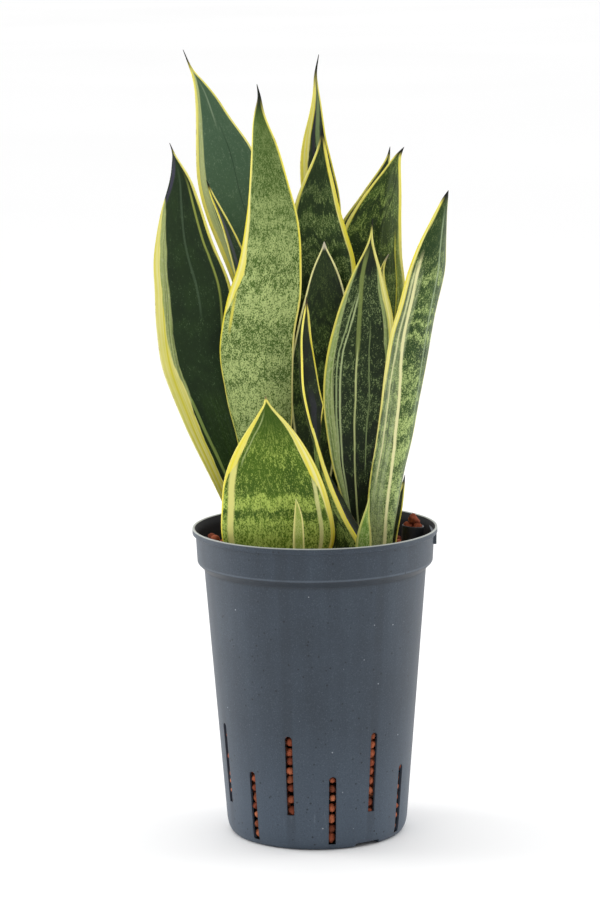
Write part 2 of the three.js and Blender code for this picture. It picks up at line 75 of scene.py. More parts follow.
def add_piece(name, verts, faces, material, replaced=(), uvs=None, sharp=None):
    """A mesh piece from millimetres, smooth shaded, riding on the root body."""
    mesh = bpy.data.meshes.new(name)
    mesh.from_pydata([tuple(v) for v in np.asarray(verts) * MM], [], faces)
    mesh.update()
    mesh.shade_smooth()
    loops = np.zeros(len(mesh.loops), int)
    mesh.loops.foreach_get("vertex_index", loops)
    for uv_name, values in (uvs or {}).items():
        layer = mesh.uv_layers.new(name=uv_name)
        layer.data.foreach_set("uv", np.asarray(values, float)[loops].ravel())
    return finish_piece(name, mesh, material, replaced, sharp)


def finish_piece(name, mesh, material, replaced, sharp=None):
    piece = bpy.data.objects.new(name, mesh)
    scene.collection.objects.link(piece)
    mesh.materials.clear()
    for each in material if isinstance(material, (list, tuple)) else [material]:
        mesh.materials.append(each)
    if sharp is not None:
        mark_sharp(mesh, sharp)
    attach(piece, "root")
    if replaced:
        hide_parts(*replaced)
    return piece


def mark_sharp(mesh, degrees):
    """Edges that turn more than this many degrees are drawn sharp."""
    work = bmesh.new()
    work.from_mesh(mesh)
    limit = math.radians(degrees)
    for edge in work.edges:
        edge.smooth = len(edge.link_faces) != 2 or edge.calc_face_angle(0.0) < limit
    work.to_mesh(mesh)
    work.free()


# ------------------------------------------------------------------ materials

def linear(hexcode):
    """sRGB hex to a linear RGBA colour."""
    parts = [int(hexcode[i:i + 2], 16) / 255 for i in (0, 2, 4)]
    return tuple(p / 12.92 if p <= 0.04045 else ((p + 0.055) / 1.055) ** 2.4 for p in parts) + (1.0,)


class Look:
    """One procedural material and short calls that add nodes to it."""

    def __init__(self, name, **shader):
        self.material = bpy.data.materials.new(name)
        self.material.use_nodes = True
        self.tree = self.material.node_tree
        self.tree.nodes.clear()
        self.shader = self.node("ShaderNodeBsdfPrincipled")
        output = self.node("ShaderNodeOutputMaterial")
        self.tree.links.new(self.shader.outputs[0], output.inputs[0])
        for key, value in shader.items():
            self.shader.inputs[key.replace("_", " ").title().replace("Ior", "IOR")].default_value = value

    def node(self, kind, **settings):
        made = self.tree.nodes.new(kind)
        for key, value in settings.items():
            setattr(made, key, value)
        return made

    def feed(self, socket, value):
        """Sets a socket from another socket, a number or a hex colour."""
        if isinstance(value, bpy.types.NodeSocket):
            self.tree.links.new(value, socket)
        elif value is not None:
            socket.default_value = linear(value) if isinstance(value, str) else value

    def math(self, operation, a, b=None):
        made = self.node("ShaderNodeMath", operation=operation)
        for socket, value in zip(made.inputs, (a, b)):
            self.feed(socket, value)
        return made.outputs[0]

    def add(self, a, b):
        return self.math("ADD", a, b)

    def minus(self, a, b):
        return self.math("SUBTRACT", a, b)

    def times(self, a, b):
        return self.math("MULTIPLY", a, b)

    def span(self, value, low, high, out_low=0.0, out_high=1.0, smooth=True):
        """value from low..high to out_low..out_high, clamped."""
        made = self.node("ShaderNodeMapRange")
        made.interpolation_type = "SMOOTHSTEP" if smooth else "LINEAR"
        for socket, each in zip(made.inputs, (value, low, high, out_low, out_high)):
            self.feed(socket, each)
        return made.outputs[0]

    def mix(self, factor, a, b):
        made = self.node("ShaderNodeMix", data_type="RGBA")
        self.feed(made.inputs[0], factor)
        self.feed(made.inputs[6], a)
        self.feed(made.inputs[7], b)
        return made.outputs[2]

    def vector(self, x=0.0, y=0.0, z=0.0):
        made = self.node("ShaderNodeCombineXYZ")
        for socket, value in zip(made.inputs, (x, y, z)):
            self.feed(socket, value)
        return made.outputs[0]

    def split(self, vector):
        made = self.node("ShaderNodeSeparateXYZ")
        self.feed(made.inputs[0], vector)
        return made.outputs

    def noise(self, vector, scale=1.0, detail=2.0, roughness=0.5):
        made = self.node("ShaderNodeTexNoise")
        self.feed(made.inputs["Vector"], vector)
        made.inputs["Scale"].default_value = scale
        made.inputs["Detail"].default_value = detail
        made.inputs["Roughness"].default_value = roughness
        return made.outputs[0]

    def voronoi(self, vector, scale):
        made = self.node("ShaderNodeTexVoronoi")
        self.feed(made.inputs["Vector"], vector)
        made.inputs["Scale"].default_value = scale
        return made.outputs["Distance"]

    def ramp(self, factor, stops, grey=False):
        """Colours, or numbers from 0 to 1, at places along factor."""
        made = self.node("ShaderNodeValToRGB")
        elements = made.color_ramp.elements
        while len(elements) < len(stops):
            elements.new(0.5)
        for element, (place, value) in zip(elements, stops):
            element.position = place
            element.color = (value, value, value, 1.0) if grey else linear(value)
        self.feed(made.inputs[0], factor)
        return made.outputs[0]

    def uv(self, name):
        return self.split(self.node("ShaderNodeUVMap", uv_map=name).outputs[0])

    def place(self):
        """The point in the object's own frame, in millimetres."""
        made = self.node("ShaderNodeVectorMath", operation="SCALE")
        self.feed(made.inputs[0], self.node("ShaderNodeTexCoord").outputs["Object"])
        made.inputs["Scale"].default_value = 1 / MM
        return made.outputs[0]

    def bump(self, height, strength, distance_mm, normal=None):
        made = self.node("ShaderNodeBump")
        made.inputs["Strength"].default_value = strength
        made.inputs["Distance"].default_value = distance_mm * MM
        self.feed(made.inputs["Height"], height)
        if normal is not None:
            self.feed(made.inputs["Normal"], normal)
        return made.outputs[0]

    def finish(self, colour, roughness=None, normal=None):
        for key, value in (("Base Color", colour), ("Roughness", roughness), ("Normal", normal)):
            if value is not None:
                self.feed(self.shader.inputs[key], value)
        return self.material


# ------------------------------------------------------------------ the pot

pot_low, pot_high = (np.array(corner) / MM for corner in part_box("pot"))
POT_HEIGHT = pot_high[2]
LIP_RADIUS = (pot_high[0] - pot_low[0]) / 2
FOOT_RADIUS = 53.8
WALL_LOW = (55.8, 8.0)
WALL_HIGH = (68.1, 165.0)
COLLAR = (72.2, 169.0)
COLLAR_TOP = (73.1, 186.0)
WALL = 1.6
FLOOR_TOP = 3.6
SLOT_STEP = 360 / 7
HIGH_SLOT = (-16.6, 22.0, 72.0)
LOW_SLOT = (-16.6 + SLOT_STEP / 2, 3.7, 46.7)
SLOT_WIDTH = 4.5
NOTCHES = (34.5, 154.5, 274.5)
GRIP_ANGLE = 92.0


def wall_radius(z):
    """Outer radius of the tapered wall at a height."""
    share = (z - WALL_LOW[1]) / (WALL_HIGH[1] - WALL_LOW[1])
    return WALL_LOW[0] + share * (WALL_HIGH[0] - WALL_LOW[0])


def rounded(corners, steps=4):
    """A polyline's [x, y, radius] corners with each corner cut round."""
    out = []
    points = [np.array(c[:2], float) for c in corners]
    for i, point in enumerate(points):
        radius = corners[i][2] if len(corners[i]) > 2 else 0
        if radius == 0 or i in (0, len(points) - 1):
            out.append(point)
            continue
        before, after = points[i - 1] - point, points[i + 1] - point
        start = point + before * min(radius / np.linalg.norm(before), 0.49)
        end = point + after * min(radius / np.linalg.norm(after), 0.49)
        for t in np.linspace(0, 1, steps + 1):
            out.append((1 - t) ** 2 * start + 2 * t * (1 - t) * point + t ** 2 * end)
    return np.array(out)


def subdivided(profile, longest):
    """The profile with no stretch longer than a length."""
    out = [profile[0]]
    for a, b in zip(profile[:-1], profile[1:]):
        count = max(1, int(np.ceil(np.linalg.norm(b - a) / longest)))
        out += [a + (b - a) * k / count for k in range(1, count + 1)]
    return np.array(out)


def lathe(profile, segments, closed=False):
    """Vertices and faces of a profile turned about +Z. Ends on the axis become one point."""
    angles = np.arange(segments) * 2 * math.pi / segments
    rows, verts = [], []
    for radius, z in profile:
        if radius < 1e-6:
            rows.append([len(verts)] * segments)
            verts.append((0.0, 0.0, z))
        else:
            rows.append(list(range(len(verts), len(verts) + segments)))
            verts += [(radius * math.cos(a), radius * math.sin(a), z) for a in angles]
    faces = []
    pairs = list(zip(rows[:-1], rows[1:])) + ([(rows[-1], rows[0])] if closed else [])
    for low, high in pairs:
        for k in range(segments):
            n = (k + 1) % segments
            ring = [low[k], low[n], high[n], high[k]]
            faces.append([v for i, v in enumerate(ring) if v != ring[i - 1]])
    return verts, faces


def outward(degrees):
    """Tangent, up and outward directions at an angle round the pot from the front."""
    a = math.radians(degrees)
    return (np.array((math.cos(a), math.sin(a), 0)), np.array((0, 0, 1.0)),
            np.array((math.sin(a), -math.cos(a), 0)))


def prism(outline, degrees, inside, outside, verts, faces):
    """Adds an upright outline of [along the tangent, z] pulled outward from a radius."""
    tangent, up, out = outward(degrees)
    first, count = len(verts), len(outline)
    for radius in (inside, outside):
        verts += [tuple(tangent * x + up * z + out * radius) for x, z in outline]
    faces.append([first + k for k in reversed(range(count))])
    faces.append([first + count + k for k in range(count)])
    for k in range(count):
        n = (k + 1) % count
        faces.append([first + k, first + n, first + count + n, first + count + k])


def slot_outline(low, high):
    half = SLOT_WIDTH / 2
    arc = [(half * math.cos(a), high - half + half * math.sin(a)) for a in np.linspace(0, math.pi, 13)]
    return [(-half, low), (half, low)] + arc


def boolean(target, verts, faces, operation):
    """Cuts or joins a solid into a mesh object and keeps the result as its mesh."""
    mesh = bpy.data.meshes.new("tool")
    mesh.from_pydata([tuple(v) for v in np.asarray(verts) * MM], [], faces)
    tool = bpy.data.objects.new("tool", mesh)
    scene.collection.objects.link(tool)
    modifier = target.modifiers.new("cut", "BOOLEAN")
    modifier.operation, modifier.object, modifier.solver = operation, tool, "EXACT"
    apply_modifiers(target)
    bpy.data.objects.remove(tool)
    bpy.data.meshes.remove(mesh)


def apply_modifiers(target):
    bpy.context.view_layer.update()
    graph = bpy.context.evaluated_depsgraph_get()
    made = bpy.data.meshes.new_from_object(target.evaluated_get(graph))
    old = target.data
    target.modifiers.clear()
    target.data = made
    bpy.data.meshes.remove(old)


def pot_look(name, inside):
    look = Look(name, specular_ior_level=0.12 if inside else 0.42)
    place = look.place()
    x, y, z = look.split(place)
    grain = look.noise(place, 3.2, 3, 0.6)
    cloud = look.noise(place, 0.028, 3, 0.55)
    flow = look.noise(look.vector(look.times(x, 0.09), look.times(y, 0.09), look.times(z, 0.008)), 1, 3, 0.6)
    # Painted shade: the inside is the same plastic as the outside, painted near-black.
    if inside:
        colour = look.ramp(cloud, [(0.3, "090a0b"), (0.7, "121315")])
        rough = look.span(grain, 0.2, 0.8, 0.5, 0.65)
        return look.finish(colour, rough, look.bump(grain, 0.12, 0.1))
    tone = look.add(look.times(cloud, 0.5), look.times(flow, 0.5))
    colour = look.ramp(tone, [(0.32, "2c3641"), (0.5, "313c48"), (0.68, "384450")])
    # Painted light: the wall is painted lighter toward the foot.
    colour = look.mix(look.span(z, 95.0, 12.0, 0.0, 0.55), colour, "4a5868")
    sand = look.noise(place, 1.15, 4, 0.75)
    colour = look.mix(look.span(sand, 0.52, 0.72, 0.0, 0.32), colour, "6a7683")
    colour = look.mix(look.span(sand, 0.48, 0.3, 0.0, 0.4), colour, "1c232b")
    # Painted shadow under the collar.
    collar_painted_shadow = look.times(look.span(z, 163.0, 165.5), look.span(z, 169.4, 168.6))
    colour = look.mix(look.times(collar_painted_shadow, 0.55), colour, "171c22")
    # Painted highlight: a thin pale line along the collar's lower edge.
    edge = look.times(look.span(z, 168.9, 169.5), look.span(z, 170.6, 169.9))
    colour = look.mix(look.times(edge, 0.3), colour, "6d7783")
    # Pale scuffs toward the foot, and dust and dark specks all over.
    low = look.span(z, 2.0, 60.0, 1.0, 0.0)
    scratch = look.noise(look.vector(look.times(x, 0.5), look.times(y, 0.5), look.times(z, 0.07)), 1, 5, 0.7)
    scuff = look.times(look.span(scratch, 0.6, 0.75), low)
    colour = look.mix(look.times(scuff, 0.4), colour, "7d8894")
    cell = look.voronoi(place, 0.16)
    kept = look.noise(place, 0.05, 1)
    dust = look.times(look.span(cell, 0.085, 0.05), look.span(kept, 0.56, 0.62))
    colour = look.mix(look.times(dust, 0.6), colour, "b4bac2")
    pit = look.times(look.span(look.voronoi(place, 0.2), 0.16, 0.1), look.span(kept, 0.56, 0.5))
    colour = look.mix(look.times(pit, 0.7), colour, "171b21")
    # Faint darker tracks in line with the slots, above and below them: painted shade of shallow moulded
    # grooves.
    turn = look.math("ARCTAN2", x, look.times(y, -1.0))
    groove_shade_spans = ((HIGH_SLOT[0], 60.0, 96.0), (LOW_SLOT[0], 36.0, 74.0), (HIGH_SLOT[0], 20.0, 6.0))
    for start, low, high in groove_shade_spans:
        step = math.radians(SLOT_STEP)
        wound = look.math("DIVIDE", look.minus(turn, math.radians(start) - step / 2), step)
        off = look.math("ABSOLUTE", look.minus(look.math("FRACT", look.add(wound, 8.0)), 0.5))
        groove_shade = look.times(look.span(off, 0.075, 0.035), look.span(z, high, low))
        colour = look.mix(look.times(groove_shade, 0.16), colour, "20262e")
    # Painted highlight: a pale line along the lip's top corner.
    painted_lip_highlight = look.span(z, POT_HEIGHT - 0.8, POT_HEIGHT - 0.2)
    colour = look.mix(look.times(painted_lip_highlight, 0.8), colour, "b6bab4")
    rough = look.add(look.span(grain, 0.2, 0.8, 0.42, 0.56), look.times(scuff, 0.12))
    fine = look.bump(grain, 0.16, 0.12)
    return look.finish(colour, rough, look.bump(tone, 0.25, 0.5, fine))


def make_pot():
    ring_inside, recess = FOOT_RADIUS - 8, 1.5
    corner = [
        (0, 0), (14, 0, 0.4), (14 + recess, recess, 0.4), (ring_inside - recess, recess, 0.4),
        (ring_inside, 0, 0.4), (FOOT_RADIUS - 1.0, 0, 1.3), (WALL_LOW[0] - 0.9, 3.2, 3.0), WALL_LOW,
        WALL_HIGH + (0.5,), COLLAR + (0.9,), COLLAR_TOP + (0.5,), (LIP_RADIUS, 186.5, 0.6),
        (LIP_RADIUS, POT_HEIGHT, 0.6), (73.8, POT_HEIGHT, 0.5), (72.0, 186.0, 2.0),
        (COLLAR[0] - WALL, COLLAR[1] + 1, 1.5),
        (wall_radius(165) - WALL, 166.0, 1.5), (wall_radius(8) - WALL, 8.0, 1.0),
        (FOOT_RADIUS - WALL + 0.4, FLOOR_TOP, 1.5), (0, FLOOR_TOP),
    ]
    profile = subdivided(rounded(corner, 5), 5.0)
    verts, faces = lathe(profile, 288)
    outside, inside = pot_look("pot_outside", False), pot_look("pot_inside_painted_shade", True)
    pot = add_piece("pot_shell", verts, faces, [outside, inside], ["pot"])
    verts, faces = [], []
    grip = [(-12, 187), (-10.5, 180), (-9.2, 179.2), (9.2, 179.2), (10.5, 180), (12, 187)]
    prism(grip, GRIP_ANGLE, COLLAR[0] - 1.2, LIP_RADIUS - 1.2, verts, faces)
    boolean(pot, verts, faces, "UNION")
    verts, faces = [], []
    for pair in range(7):
        for angle, low, high in (HIGH_SLOT, LOW_SLOT):
            prism(slot_outline(low, high), angle + pair * SLOT_STEP, 49, 80, verts, faces)
    for angle in NOTCHES:
        notch = [(-9.5, -1), (9.5, -1), (8.6, 2.2), (8.0, 2.7), (-8.0, 2.7), (-8.6, 2.2)]
        prism(notch, angle, ring_inside - 2.5, 80, verts, faces)
    boolean(pot, verts, faces, "DIFFERENCE")
    mesh = pot.data
    # Faces toward the axis, and the floor's top, take the inside material, painted near-black as shade.
    for face in mesh.polygons:
        centre = face.center / MM
        radius = math.hypot(centre.x, centre.y)
        toward = face.normal.x * centre.x + face.normal.y * centre.y
        upward = face.normal.z > 0.5 and centre.z < 10
        face.material_index = int((toward < -0.3 * radius and 3 < centre.z < POT_HEIGHT - 0.4) or upward)
        face.use_smooth = True
    mark_sharp(mesh, 38)
    return pot


make_pot()


# ------------------------------------------------------------------ the gauge sleeve

def sleeve_axis():
    """Foot and top middles of the leaning sleeve, in millimetres."""
    points = points_of("gauge_sleeve")
    axis = np.array((0, 0, 1.0))
    for _ in range(3):
        along = points @ axis
        foot = points[along < along.min() + 0.6].mean(0)
        top = points[along > along.max() - 0.6].mean(0)
        axis = (top - foot) / np.linalg.norm(top - foot)
    return foot, top, axis


def along_axis(verts, foot, axis):
    turn = Vector((0, 0, 1)).rotation_difference(Vector(axis)).to_matrix()
    return [tuple(np.array(turn @ Vector(v)) + foot) for v in verts]


sleeve_foot, sleeve_top, sleeve_dir = sleeve_axis()


def make_sleeve():
    length = np.linalg.norm(sleeve_top - sleeve_foot)
    outer, inner = 6.8, 5.7
    corner = [
        (inner, 0.3), (inner, 0, 0.3), (outer, 0, 0.3), (outer, length, 0.45), (inner, length, 0.45),
        (inner, length - 5, 0.8), (0, length - 5), (0, length - 6.1), (inner, length - 6.1, 0.8),
        (inner, 0.3),
    ]
    verts, faces = lathe(rounded(corner, 4)[:-1], 96, closed=True)
    look = Look("sleeve_black", specular_ior_level=0.45)
    place = look.place()
    grain = look.noise(place, 2.4, 3, 0.6)
    dust = look.span(look.noise(place, 0.7, 4, 0.7), 0.58, 0.72)
    colour = look.ramp(look.noise(place, 0.15, 2), [(0.3, "141517"), (0.7, "202225")])
    colour = look.mix(look.times(dust, 0.35), colour, "5a4438")
    material = look.finish(colour, look.span(grain, 0.2, 0.8, 0.35, 0.55), look.bump(grain, 0.15, 0.1))
    add_piece("gauge_sleeve_tube", along_axis(verts, sleeve_foot, sleeve_dir), faces, material,
              ["gauge_sleeve"], sharp=45)


make_sleeve()


# ------------------------------------------------------------------ the leaves

def sections_of(node):
    """A CAD leaf's level sections from foot to tip, in millimetres, as rows of
    z, midrib x, midrib y, angle, half width, cup depth and thickness."""
    points = points_of(node)
    rows = []
    for z in np.unique(np.round(points[:, 2], 2)):
        ring = points[np.abs(points[:, 2] - z) < 0.006][:, :2]
        if len(ring) < 8:
            continue
        gaps = np.linalg.norm(ring[:, None] - ring[None], axis=2)
        i, j = np.unravel_index(gaps.argmax(), gaps.shape)
        side = ring[j] - ring[i]
        for _ in range(4):
            side = side / np.linalg.norm(side) * (1 if side[0] > 0 else -1)
            order = ring[np.argsort(ring @ side)]
            side = order[-2:].mean(0) - order[:2].mean(0)
        width = np.linalg.norm(side)
        side = side / width
        face = np.array((side[1], -side[0]))
        middle = order[4:6].mean(0)
        depth = ((order[:2].mean(0) + order[-2:].mean(0)) / 2 - middle) @ face
        thick = np.linalg.norm(order[4] - order[5])
        rows.append((z, *middle, math.atan2(side[1], side[0]), width / 2, depth, thick))
    tip = points[points[:, 2].argmax()]
    last = rows[-1]
    rows.append((tip[2], tip[0], tip[1], last[3], 0.12, 0.0, 0.24))
    return np.array(rows)


def eased(table, at):
    """The rows of table at other heights, by a cubic that keeps to its rows' trend."""
    x, y = table[:, 0], table[:, 1:]
    slope = np.diff(y, axis=0) / np.diff(x)[:, None]
    same_way = slope[:-1] * slope[1:]
    inner = np.where(same_way > 0, 2 * same_way / (slope[:-1] + slope[1:] + 1e-12), 0)
    mean = (slope[:-1] + slope[1:]) / 2
    inner = 0.5 * inner + 0.5 * mean
    tangent = np.vstack([slope[:1], inner, slope[-1:]])
    k = np.clip(np.searchsorted(x, at) - 1, 0, len(x) - 2)
    h = (x[k + 1] - x[k])[:, None]
    t = (at - x[k])[:, None] / h
    return (y[k] * (1 + 2 * t) * (1 - t) ** 2 + tangent[k] * h * t * (1 - t) ** 2
            + y[k + 1] * t * t * (3 - 2 * t) + tangent[k + 1] * h * t * t * (t - 1))


def smoothed(values, reach, keep_last):
    """values softened along their rows, left as they are near the end."""
    count = len(values)
    offsets = np.arange(-3 * reach, 3 * reach + 1)
    weights = np.exp(-0.5 * (offsets / reach) ** 2)
    index = np.clip(np.arange(count)[:, None] + offsets[None], 0, count - 1)
    soft = (values[index] * weights[None, :, None]).sum(1) / weights.sum()
    fade = np.clip((count - 1 - np.arange(count)) / keep_last, 0, 1)[:, None]
    return soft * fade + values * (1 - fade)


def wave(along, lengths, seed):
    """A smooth wandering number for each place along, of about -1 to 1."""
    total = np.zeros_like(along)
    for k, length in enumerate(lengths):
        total += np.sin(along / length * 2 * math.pi + seed * (2.1 + k) + k) / (1 + 0.6 * k)
    return total / len(lengths)


def ring_faces(count, size, flipped=False):
    """Quads between rings of points, with an end cap on the first and the last."""
    quads = []
    for i in range(count - 1):
        a, b = i * size, (i + 1) * size
        for j in range(size):
            n = (j + 1) % size
            quads.append((a + j, b + j, b + n, a + n) if flipped else (a + j, a + n, b + n, b + j))
    first, last = tuple(range(size)), tuple(range((count - 1) * size, count * size))
    return quads + ([first, last[::-1]] if flipped else [first[::-1], last])


def distance_maps(from_left, from_right, run, to_tip):
    """The two UV maps that the leaf looks read, both in mm/100."""
    return {
        "margins": np.stack([from_left.ravel(), from_right.ravel()], 1) / 100,
        "course": np.stack([run.ravel(), to_tip.ravel()], 1) / 100,
    }


def make_blade(node, material, fold=2.0, wavy=0.6, seed=1, across=29, kept=((0, 1), (1, 1))):
    """A dense leaf over a CAD leaf, with its distances as UV maps, all in mm/100.
    kept is the share of the width from the left edge that shows, along the leaf."""
    table = sections_of(node)
    low, high = table[0, 0], table[-1, 0]
    count = int((high - low) / 1.6) + 12
    share = np.linspace(0, 1, count)
    heights = low + (high - low) * (share ** 0.97)
    rows = eased(table, heights)
    rows = smoothed(rows, 3, 14)
    mid_x, mid_y, angle, half, depth, thick = rows.T
    half = np.maximum(half, 0.14)
    thick = np.clip(thick, 0.22, 3.6)
    size = np.clip(half / 12, 0, 1)
    along = heights - low
    half = half * (1 + 0.012 * wavy * wave(along, (33, 71), seed))
    depth = depth + wavy * 0.5 * size * wave(along, (47, 83), seed + 2)
    centre = np.stack([mid_x, mid_y, heights], 1)
    side = np.stack([np.cos(angle), np.sin(angle), 0 * angle], 1)
    face = np.stack([np.sin(angle), -np.cos(angle), 0 * angle], 1)
    place = np.sin(np.linspace(-1, 1, across) * math.pi / 2) * 0.55 + np.linspace(-1, 1, across) * 0.45
    shown = np.interp(along / along[-1], *zip(*kept))
    where = -1 + (place[None] + 1) * shown[:, None]
    middle = (centre[:, None] + side[:, None] * (half[:, None] * where)[..., None]
              + face[:, None] * (depth[:, None] * np.abs(where) ** fold)[..., None])
    left = wavy * 0.45 * size * wave(along, (29, 61), seed + 5)
    right = wavy * 0.45 * size * wave(along, (37, 53), seed + 9)
    edge = np.where(place < 0, place ** 6, 0)[None] * left[:, None]
    edge = edge + np.where(place > 0, place ** 6, 0)[None] * right[:, None]
    middle = middle + face[:, None] * edge[..., None]
    step_along = np.gradient(middle, axis=0)
    step_across = np.gradient(middle, axis=1)
    normal = np.cross(step_across, step_along)
    normal /= np.linalg.norm(normal, axis=2, keepdims=True) + 1e-12
    normal *= np.sign((normal * face[:, None]).sum(2))[..., None]
    rim = np.minimum(0.5, thick * 0.45)
    body = rim[:, None] + (thick - rim)[:, None] * (1 - np.abs(place)[None] ** 2.2)
    front = middle + normal * (body / 2)[..., None]
    back = middle - normal * (body / 2)[..., None]
    outward_left = middle[:, 0] - middle[:, 1]
    outward_right = middle[:, -1] - middle[:, -2]
    for out in (outward_left, outward_right):
        out /= np.linalg.norm(out, axis=1, keepdims=True) + 1e-12
    edge_left = middle[:, 0] + outward_left * (rim / 2)[:, None]
    edge_right = middle[:, -1] + outward_right * (rim / 2)[:, None]
    # One ring: left edge, front from left to right, right edge, back from right to left.
    rings = np.concatenate([edge_left[:, None], front, edge_right[:, None], back[:, ::-1]], axis=1)
    ring_size = rings.shape[1]
    steps = np.linalg.norm(np.diff(middle, axis=1), axis=2)
    arc = np.concatenate([np.zeros((count, 1)), np.cumsum(steps, 1)], 1)
    from_left = np.concatenate([arc[:, :1], arc, arc[:, -1:], arc[:, ::-1]], axis=1)
    from_right = arc[:, -1:] - from_left
    run = np.concatenate([[0], np.cumsum(np.linalg.norm(np.diff(centre, axis=0), axis=1))])
    run = np.repeat(run[:, None], ring_size, 1)
    uvs = distance_maps(from_left, from_right, run, run.max() - run)
    return add_piece(node + "_blade", rings.reshape(-1, 3), ring_faces(count, ring_size), material,
                     [node], uvs)


CREAM = "f8f2a2"


